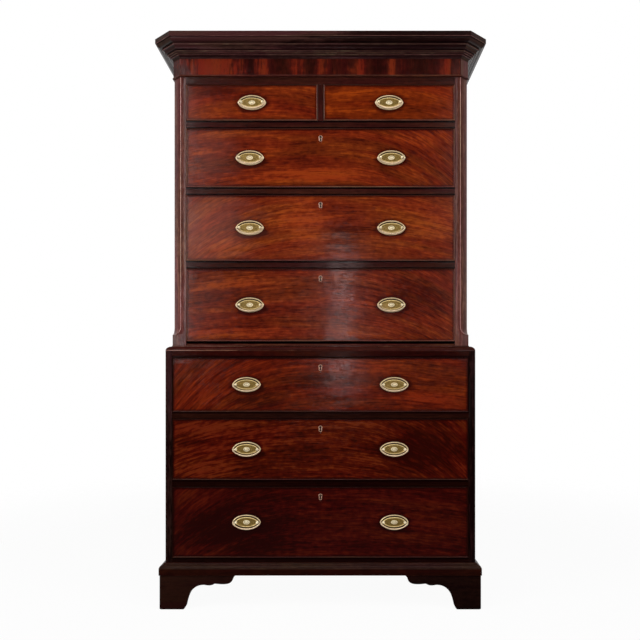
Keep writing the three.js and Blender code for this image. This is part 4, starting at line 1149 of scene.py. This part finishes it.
def handles():
    """A plate with its posts, a bail, and the nuts behind the front, at every place of a handle."""
    plate_bm, bail_bm = plate_mesh(), bail_mesh()
    for drawer in DRAWERS:
        for tag in tags_of(drawer):
            low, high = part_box(f"{drawer}_plate{tag}")
            middle = Vector(((low.x + high.x) / 2, face_of(drawer), (low.z + high.z) / 2))
            bm = plate_bm.copy()
            bmesh.ops.translate(bm, vec=middle, verts=bm.verts)
            drawer_piece(drawer, f"handle_plate{tag}", bm, plate_finish, [f"{drawer}_plate{tag}"], 40)
            bm = bail_bm.copy()
            bmesh.ops.translate(bm, vec=middle - Vector((0, POST_REACH, 0)), verts=bm.verts)
            piece(f"{drawer}_handle_bail{tag}", bm, f"{drawer}_pull{tag}", wire_finish,
                  [f"{drawer}_bail{tag}"], 60)
            bm = bmesh.new()
            for side in (-1, 1):
                place = middle + Vector((side * POST_SPREAD, NUT_DEPTH, 0))
                lathe(bm, NUT, place, "Y", 6)
                lathe(bm, POST_END, place, "Y", 12)
            drawer_piece(drawer, f"post_nuts{tag}", bm, thread_finish)
    plate_bm.free()
    bail_bm.free()


handles()


# Cornice, frieze and necking bead

SEAT = -0.020
FRIEZE_OUT = 0.003
CROWN_LOW = FRIEZE_TOP + 0.003
CROWN_OUT = 0.058
CROWN_RUB = 1.1 * MM
# The cornice from its foot up: fillets as (projection, bottom, top) and curves as (start, end, bulge, steps)
CROWN = [
    ((0.004, CROWN_LOW), (0.011, 1.801), -1, 6),
    (0.012, 1.801, 1.8045), (0.0175, 1.8045, 1.809), (0.022, 1.809, 1.814),
    ((0.028, 1.814), (0.036, 1.825), -1, 8),
    (0.037, 1.825, 1.8305),
    ((0.043, 1.8305), (0.053, 1.8425), 1, 8),
    (CROWN_OUT, 1.8425, CORNICE_TOP - CROWN_RUB),
]
NECK_TOP = NECK_LOW + 0.0065
NECK_OUT = 0.006
TOP_INSET = 0.0198


def cornice():
    """The stepped cornice, the frieze and the necking bead, mitred round the front, the cants and the sides."""
    plan = case_plan(UPPER_HALF, UPPER_FRONT, CANT)
    crown = [(SEAT, CROWN_LOW), (FRIEZE_OUT, CROWN_LOW)]
    rubbed = []
    for member in CROWN:
        if len(member) == 4:
            crown += quarter(*member)
            continue
        out, low, high = member
        # The rubbed facets take the pale arris finish: wear and painted highlight
        rubbed.append(len(crown))
        crown += [(out - CROWN_RUB, low), (out, low + CROWN_RUB), (out, high)]
    rubbed.append(len(crown) - 1)
    crown += [(CROWN_OUT - CROWN_RUB, CORNICE_TOP), (SEAT, CORNICE_TOP)]
    middle = (NECK_LOW + NECK_TOP) / 2
    bead = [(SEAT, NECK_LOW)] + quarter((0, NECK_LOW), (NECK_OUT, middle), 1, 6)
    bead += list(reversed(quarter((FRIEZE_OUT, NECK_TOP), (NECK_OUT, middle), 1, 6)))[1:] + [(SEAT, NECK_TOP)]
    frieze = [(SEAT, NECK_TOP), (FRIEZE_OUT, NECK_TOP), (FRIEZE_OUT, CROWN_LOW), (SEAT, CROWN_LOW)]
    for index, run in enumerate(("left_side", "left_cant", "front", "right_cant", "right_side")):
        piece(f"cornice_{run}", moulding(crown, plan, index, rubbed), "case",
              [cornice_finish[run], cornice_arris_wear_and_highlight_finish], ["cornice"] if index == 0 else (), 30)
        piece(f"necking_bead_{run}", moulding(bead, plan, index), "case", neck_finish, smooth=30)
        piece(f"frieze_{run}", moulding(frieze, plan, index), "case",
              frieze_lit_finish if run == "right_cant" else frieze_finish, smooth=30)
    plan_board("upper_case_top_board", plan, TOP_INSET, BOARD_FRONT, NECK_LOW, NECK_LOW + 15 * MM)
    plan_board("cornice_dust_board", plan, TOP_INSET, BACK, CORNICE_TOP - 24 * MM, CORNICE_TOP - 12 * MM)


cornice()


# Corner posts, facings, rails and muntin

POST_SIDE = 0.044
RAIL_DEEP = 0.060
UPPER_OPEN_HALF = UPPER_HALF - POST_SIDE
FACING_DEEP = 0.020
TONGUE_BLOCK = 0.036
TONGUE_HIGH = 0.026
TONGUE_STEPS = 16
MUNTIN_HALF = 0.009
RUNNER_SPREAD = 0.0123
RUNNER_THICK = 0.016
GUIDE_HIGH = 0.018
BOTTOM_RECESS = 0.014
BOTTOM_LIP = 0.006
RUBBED = 1.4 * MM
RUBBED_ROUND = 0.24
# A drawer stop: half its width, its near and far side behind the front, its height, and how far out it is
STOP_HALF, STOP_NEAR, STOP_FAR, STOP_HIGH = 0.015, 0.0203, 0.0383, 0.005
UPPER_STOPS, LOWER_STOPS = 0.232, 0.240
# Back boards: the gap at a joint, how far a joint wanders as a share of a board, and the steps at the back in mm
BOARD_GAP = 0.35 * MM
BOARD_WANDER = 0.12
BOARD_STEP = 0.3
NAIL = [(0.0, 0.0004), (0.0028, 0.0004), (0.0030, -0.0002), (0.0, -0.0002)]
NAIL_IN = (0.022, 0.012)


def opening(drawer):
    """The bottom and the top of the opening that a drawer fills."""
    low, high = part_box(f"{drawer}_front")
    return low.z - 1.0 * MM, high.z + 1.5 * MM


def rail_levels(rows, floor_level, ceiling):
    """The bottoms and tops of the rails under, between and over some rows of drawers, from the lowest up."""
    levels = [floor_level] + [level for row in rows for level in opening(row)] + [ceiling]
    return list(zip(levels[::2], levels[1::2]))


def corner_post(side):
    """A canted post: the cant runs out below in a lamb's tongue, and its two arrises take a pale finish, worn and
    painted as a highlight.
    """
    tongue = WAIST_TOP + TONGUE_BLOCK
    stations = [(WAIST_TOP, 0.0), (tongue, 0.0)]
    for i in range(1, TONGUE_STEPS + 1):
        turn = i / TONGUE_STEPS * math.pi / 2
        stations.append((tongue + TONGUE_HIGH * (1 - math.cos(turn)), CANT * math.sin(turn)))
    stations.append((NECK_LOW, CANT))
    rings = []
    for z, leg in stations:
        rub = min(RUBBED, leg * 0.4)
        skew = rub * math.sqrt(0.5)
        near, beyond = skew * RUBBED_ROUND, leg + rub * 0.1
        plan = [(POST_SIDE, 0), (leg + rub, 0), (beyond, near), (leg - skew, skew), (skew, leg - skew),
                (near, beyond), (0, leg + rub), (0, POST_SIDE), (POST_SIDE, POST_SIDE)]
        rings.append([(side * (UPPER_HALF - inward), UPPER_FRONT + back, z) for inward, back in plan])
    bm = bmesh.new()
    lofted(bm, rings, lambda step, edge: 1 if step > 1 and edge in (1, 2, 4, 5) else 0)
    return bm


def rail(name, half, front, low, high, finish):
    """A rail or the muntin, as deep as every rail."""
    boards(name, [((-half, front, low), (half, front + RAIL_DEEP, high))], finish, 0.5)


def lipped_rail(name, low, high):
    """The upper case's bottom rail: a thin lip, painted lighter as lit, in front of a rebate painted nearly black as
    shade.
    """
    bm = bmesh.new()
    slab(bm, (-UPPER_OPEN_HALF, UPPER_FRONT + MM, low), (UPPER_OPEN_HALF, UPPER_FRONT + RAIL_DEEP, low + BOTTOM_LIP))
    eased(bm, 0.5 * MM, 1)
    lip = set(bm.faces)
    slab(bm, (-UPPER_OPEN_HALF, UPPER_FRONT + BOTTOM_RECESS, low + BOTTOM_LIP),
         (UPPER_OPEN_HALF, UPPER_FRONT + RAIL_DEEP, high))
    painted(bm, lip)
    piece(name, bm, "case", [lip_finish, rebate_shade_finish])


def drawer_stops(name, rows, front, spread):
    """Two stops behind the front of each drawer of some rows, on the rail under it."""
    boxes = []
    for seat in (opening(row)[0] for row in rows):
        for x in (-spread, spread):
            boxes.append(((x - STOP_HALF, front + STOP_NEAR, seat),
                          (x + STOP_HALF, front + STOP_FAR, seat + STOP_HIGH)))
    boards(name, boxes, pine_flat_finish)


def upper_frame():
    """The canted posts, the rails from the bottom up, the muntin, its centre runner and the stops."""
    for side, name in ((-1, "upper_left_post"), (1, "upper_right_post")):
        piece(name, corner_post(side), "case", [post_finish, arris_wear_and_highlight_finish],
              ["upper_frame"] if side < 0 else (), 30)
    rows = ["upper_3", "upper_2", "upper_1", "short_left"]
    bottom, *levels = rail_levels(rows, WAIST_TOP, NECK_LOW)
    lipped_rail("upper_bottom_rail", *bottom)
    for name, level in zip(("upper_divider_3", "upper_divider_2", "upper_divider_1", "upper_top_rail"), levels):
        rail(name, UPPER_OPEN_HALF, UPPER_FRONT, *level, rail_finish)
    seat, above = opening("short_left")
    rail("muntin", MUNTIN_HALF, UPPER_FRONT, seat, above, muntin_finish)
    back, half = UPPER_FRONT + RAIL_DEEP, MUNTIN_HALF + RUNNER_SPREAD
    boards("short_drawer_centre_runner",
           [((-half, back, seat - RUNNER_THICK), (half, BOARD_FRONT, seat)),
            ((-MUNTIN_HALF, back, seat), (MUNTIN_HALF, BOARD_FRONT, seat + GUIDE_HIGH))], oak_finish)
    drawer_stops("upper_drawer_stops", rows, UPPER_FRONT, UPPER_STOPS)


def lower_frame():
    """The facings, the rails from the bottom up and the stops."""
    for side, name in ((-1, "lower_left_facing"), (1, "lower_right_facing")):
        left, right = sorted((side * LOWER_OPEN_HALF, side * LOWER_HALF))
        boards(name, [((left, LOWER_FRONT, BASE_TOP), (right, LOWER_FRONT + FACING_DEEP, WAIST_LOW))], facing_finish,
               0.8, 2, ["lower_frame"] if side < 0 else (), 50)
    rows = ["lower_3", "lower_2", "lower_1"]
    levels = rail_levels(rows, BASE_TOP, WAIST_LOW)
    levels[0] = (BASE_TOP, LOWER_FLOOR)  # flush with the bottom board
    for (name, finish), level in zip(low_rail_finish.items(), levels):
        rail(name, LOWER_OPEN_HALF, LOWER_FRONT, *level, finish)
    drawer_stops("lower_drawer_stops", rows, LOWER_FRONT, LOWER_STOPS)


def back_boards(node, count, seed):
    """A back of upright boards, each with its own face, eased along the joints and nailed at the top and bottom."""
    low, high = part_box(node)
    draw = random.Random(seed)
    cuts = [low.x] + sorted(low.x + (high.x - low.x) * (i + draw.uniform(-BOARD_WANDER, BOARD_WANDER)) / count
                            for i in range(1, count)) + [high.x]
    bm = bmesh.new()
    for left, right in zip(cuts, cuts[1:]):
        face = high.y - draw.uniform(0, BOARD_STEP) * MM
        slab(bm, (left + BOARD_GAP, low.y, low.z), (right - BOARD_GAP, face, high.z))
    eased(bm, 0.7 * MM, 1)
    wood = set(bm.faces)
    across, up = NAIL_IN
    for left, right in zip(cuts, cuts[1:]):
        for x in (left + across, right - across):
            for z in (low.z + up, high.z - up):
                lathe(bm, NAIL, (x, high.y - 0.4 * MM, z), "Y", 10)
    painted(bm, wood)
    piece(f"{node}_boards", bm, "case", [pine_finish, iron], [node])


upper_frame()
lower_frame()
back_boards("upper_back", 5, 3)
back_boards("lower_back", 5, 8)


# Waist and base mouldings

WAIST_OUT = -0.017
WAIST_SEAT = -0.060
BASE_OUT = 0.018
BASE_SEAT = -0.045
FASCIA_TOP = FOOT_TOP + 0.020
# Shares of the base moulding over its fascia: the ovolo, the fillet, and how far out the fillet and the cove stand
OVOLO_SHARE, FILLET_SHARE, FILLET_OUT, COVE_OUT = 0.6, 0.12, 0.5, 0.65


def waist():
    """The moulding round the top of the lower case, and the board inside it."""
    plan = case_plan(LOWER_HALF, LOWER_FRONT)
    profile = [(WAIST_SEAT, WAIST_LOW)]
    profile += list(reversed(quarter((WAIST_OUT, WAIST_TOP - 2.5 * MM), (0, WAIST_LOW), 1)))
    profile += [(WAIST_OUT, WAIST_TOP), (WAIST_SEAT, WAIST_TOP)]
    # The rubbed facets take the pale arris finish: wear and painted highlight
    three_lengths("waist_moulding", profile, plan, (1, len(profile) - 3), waist_finish)
    plan_board("lower_case_top_board", plan, 0.0598, BACK, WAIST_LOW, WAIST_TOP)


def base():
    """The moulding over the feet, a fascia, an ovolo, a fillet and a cove, and the bottom boards."""
    plan = case_plan(LOWER_HALF, LOWER_FRONT)
    rest, out = BASE_TOP - FASCIA_TOP, BASE_OUT * FILLET_OUT
    ovolo_top = FASCIA_TOP + rest * OVOLO_SHARE
    fillet_top = ovolo_top + rest * FILLET_SHARE
    profile = [(BASE_SEAT, FOOT_TOP), (BASE_OUT, FOOT_TOP)]
    profile += list(reversed(quarter((out, ovolo_top), (BASE_OUT, FASCIA_TOP), 1)))
    profile.append((out, fillet_top))
    profile += quarter((out * COVE_OUT, fillet_top), (0, BASE_TOP), -1)
    # The ovolo's facets take the paler finish: wear and painted highlight
    rubbed = range(2, len(profile) - 5)
    profile.append((BASE_SEAT, BASE_TOP))
    three_lengths("base_moulding", profile, plan, rubbed, base_finish)
    half = LOWER_HALF + BASE_SEAT - 0.2 * MM
    boards("lower_case_bottom",
           [((-half, BACK + BASE_SEAT, FOOT_TOP), (half, BACK, BASE_TOP)),
            ((-LOWER_OPEN_HALF, LOWER_FRONT + RAIL_DEEP, BASE_TOP - 6 * MM),
             (LOWER_OPEN_HALF, BOARD_FRONT, LOWER_FLOOR))],
           pine_flat_finish)


waist()
base()


# Bracket feet

FOOT_OUT = 0.0155
FOOT_PAD = 0.080
FOOT_CORNER = 0.005
FOOT_THICK = 0.022
FOOT_BLOCK = 0.034
FOOT_BLOCK_LOW = 0.008
FRONT_SPAN, SIDE_SPAN, REAR_SPAN = 0.245, 0.205, 0.150
# Each curve of a scrolled bracket: its two pulls and its end, as shares of the span past the pad and of the height
BRACKET_START = (0.03, 0.1)
BRACKET_CURVES = [
    ((0.07, 0.4), (0.14, 0.71), (0.37, 0.72)),
    ((0.42, 0.725), (0.5, 0.66), (0.595, 0.755)),
    ((0.8, 0.72), (0.94, 0.72), (0.955, 0.93)),
]
PLAIN_BRACKET = [(0.12, 0.35), (0.45, 0.72), (0.9, 0.86)]


def bracket_outline(span, scrolled=True):
    """Points of a bracket from its outer corner inward, as distances inward and up."""
    def at(point):
        return Vector((FOOT_PAD + (span - FOOT_PAD) * point[0], FOOT_TOP * point[1]))

    points = [Vector((0, FOOT_TOP)), Vector((0, FOOT_CORNER))]
    points += [Vector((FOOT_CORNER * (1 - math.cos(turn)), FOOT_CORNER * (1 - math.sin(turn))))
               for turn in (0.4, 0.8, 1.2, math.pi / 2)]
    if scrolled:
        points.append(Vector((FOOT_PAD - FOOT_CORNER, 0)))
        low = at(BRACKET_START)
        corner = Vector((FOOT_PAD, 0))
        points += interpolate_bezier(points[-1], points[-1].lerp(corner, 2 / 3), low.lerp(corner, 2 / 3), low, 6)[1:]
        for pull, second_pull, end in BRACKET_CURVES:
            points += interpolate_bezier(points[-1], at(pull), at(second_pull), at(end), 14)[1:]
    else:
        points += [Vector((FOOT_PAD, 0))] + [at(point) for point in PLAIN_BRACKET]
    return points + [Vector((span, FOOT_TOP))]


def bracket(outline, place):
    """A bracket extruded inward from its outer face, mitred at the corner; place(inward, deep, up) sets a point."""
    bm = bmesh.new()
    near = [place(point.x, 0, point.y) for point in outline]
    far = [place(max(point.x, FOOT_THICK), FOOT_THICK, point.y) for point in outline]
    lofted(bm, [near, far])
    bmesh.ops.remove_doubles(bm, verts=bm.verts, dist=1e-5)
    bmesh.ops.recalc_face_normals(bm, faces=bm.faces)
    eased(bm, 0.7 * MM, 2, 60)
    return bm


def foot(name, side, is_front):
    """A foot of two brackets with a glue block behind them; the rear bracket of a back foot is plain."""
    outer_x = LOWER_HALF + FOOT_OUT
    outer_y = LOWER_FRONT - FOOT_OUT if is_front else BACK
    inward = 1 if is_front else -1
    face = bracket(bracket_outline(FRONT_SPAN) if is_front else bracket_outline(REAR_SPAN, False),
                   lambda along, deep, up: (side * (outer_x - along), outer_y + inward * deep, up))
    piece(f"{name}_face_bracket", face, "case", foot_finish, [name], 35)
    flank = bracket(bracket_outline(SIDE_SPAN),
                    lambda along, deep, up: (side * (outer_x - deep), outer_y + inward * along, up))
    piece(f"{name}_side_bracket", flank, "case", foot_side_finish, smooth=35)
    left, right = sorted(side * (outer_x - FOOT_THICK - reach) for reach in (0, FOOT_BLOCK))
    near, far = sorted(outer_y + inward * (FOOT_THICK + reach) for reach in (0, FOOT_BLOCK))
    boards(f"{name}_glue_block", [((left, near, FOOT_BLOCK_LOW), (right, far, FOOT_TOP))], pine_finish,
           1.5)


for depth, is_front in (("front", True), ("back", False)):
    for hand, side in (("left", -1), ("right", 1)):
        foot(f"foot_{depth}_{hand}", side, is_front)
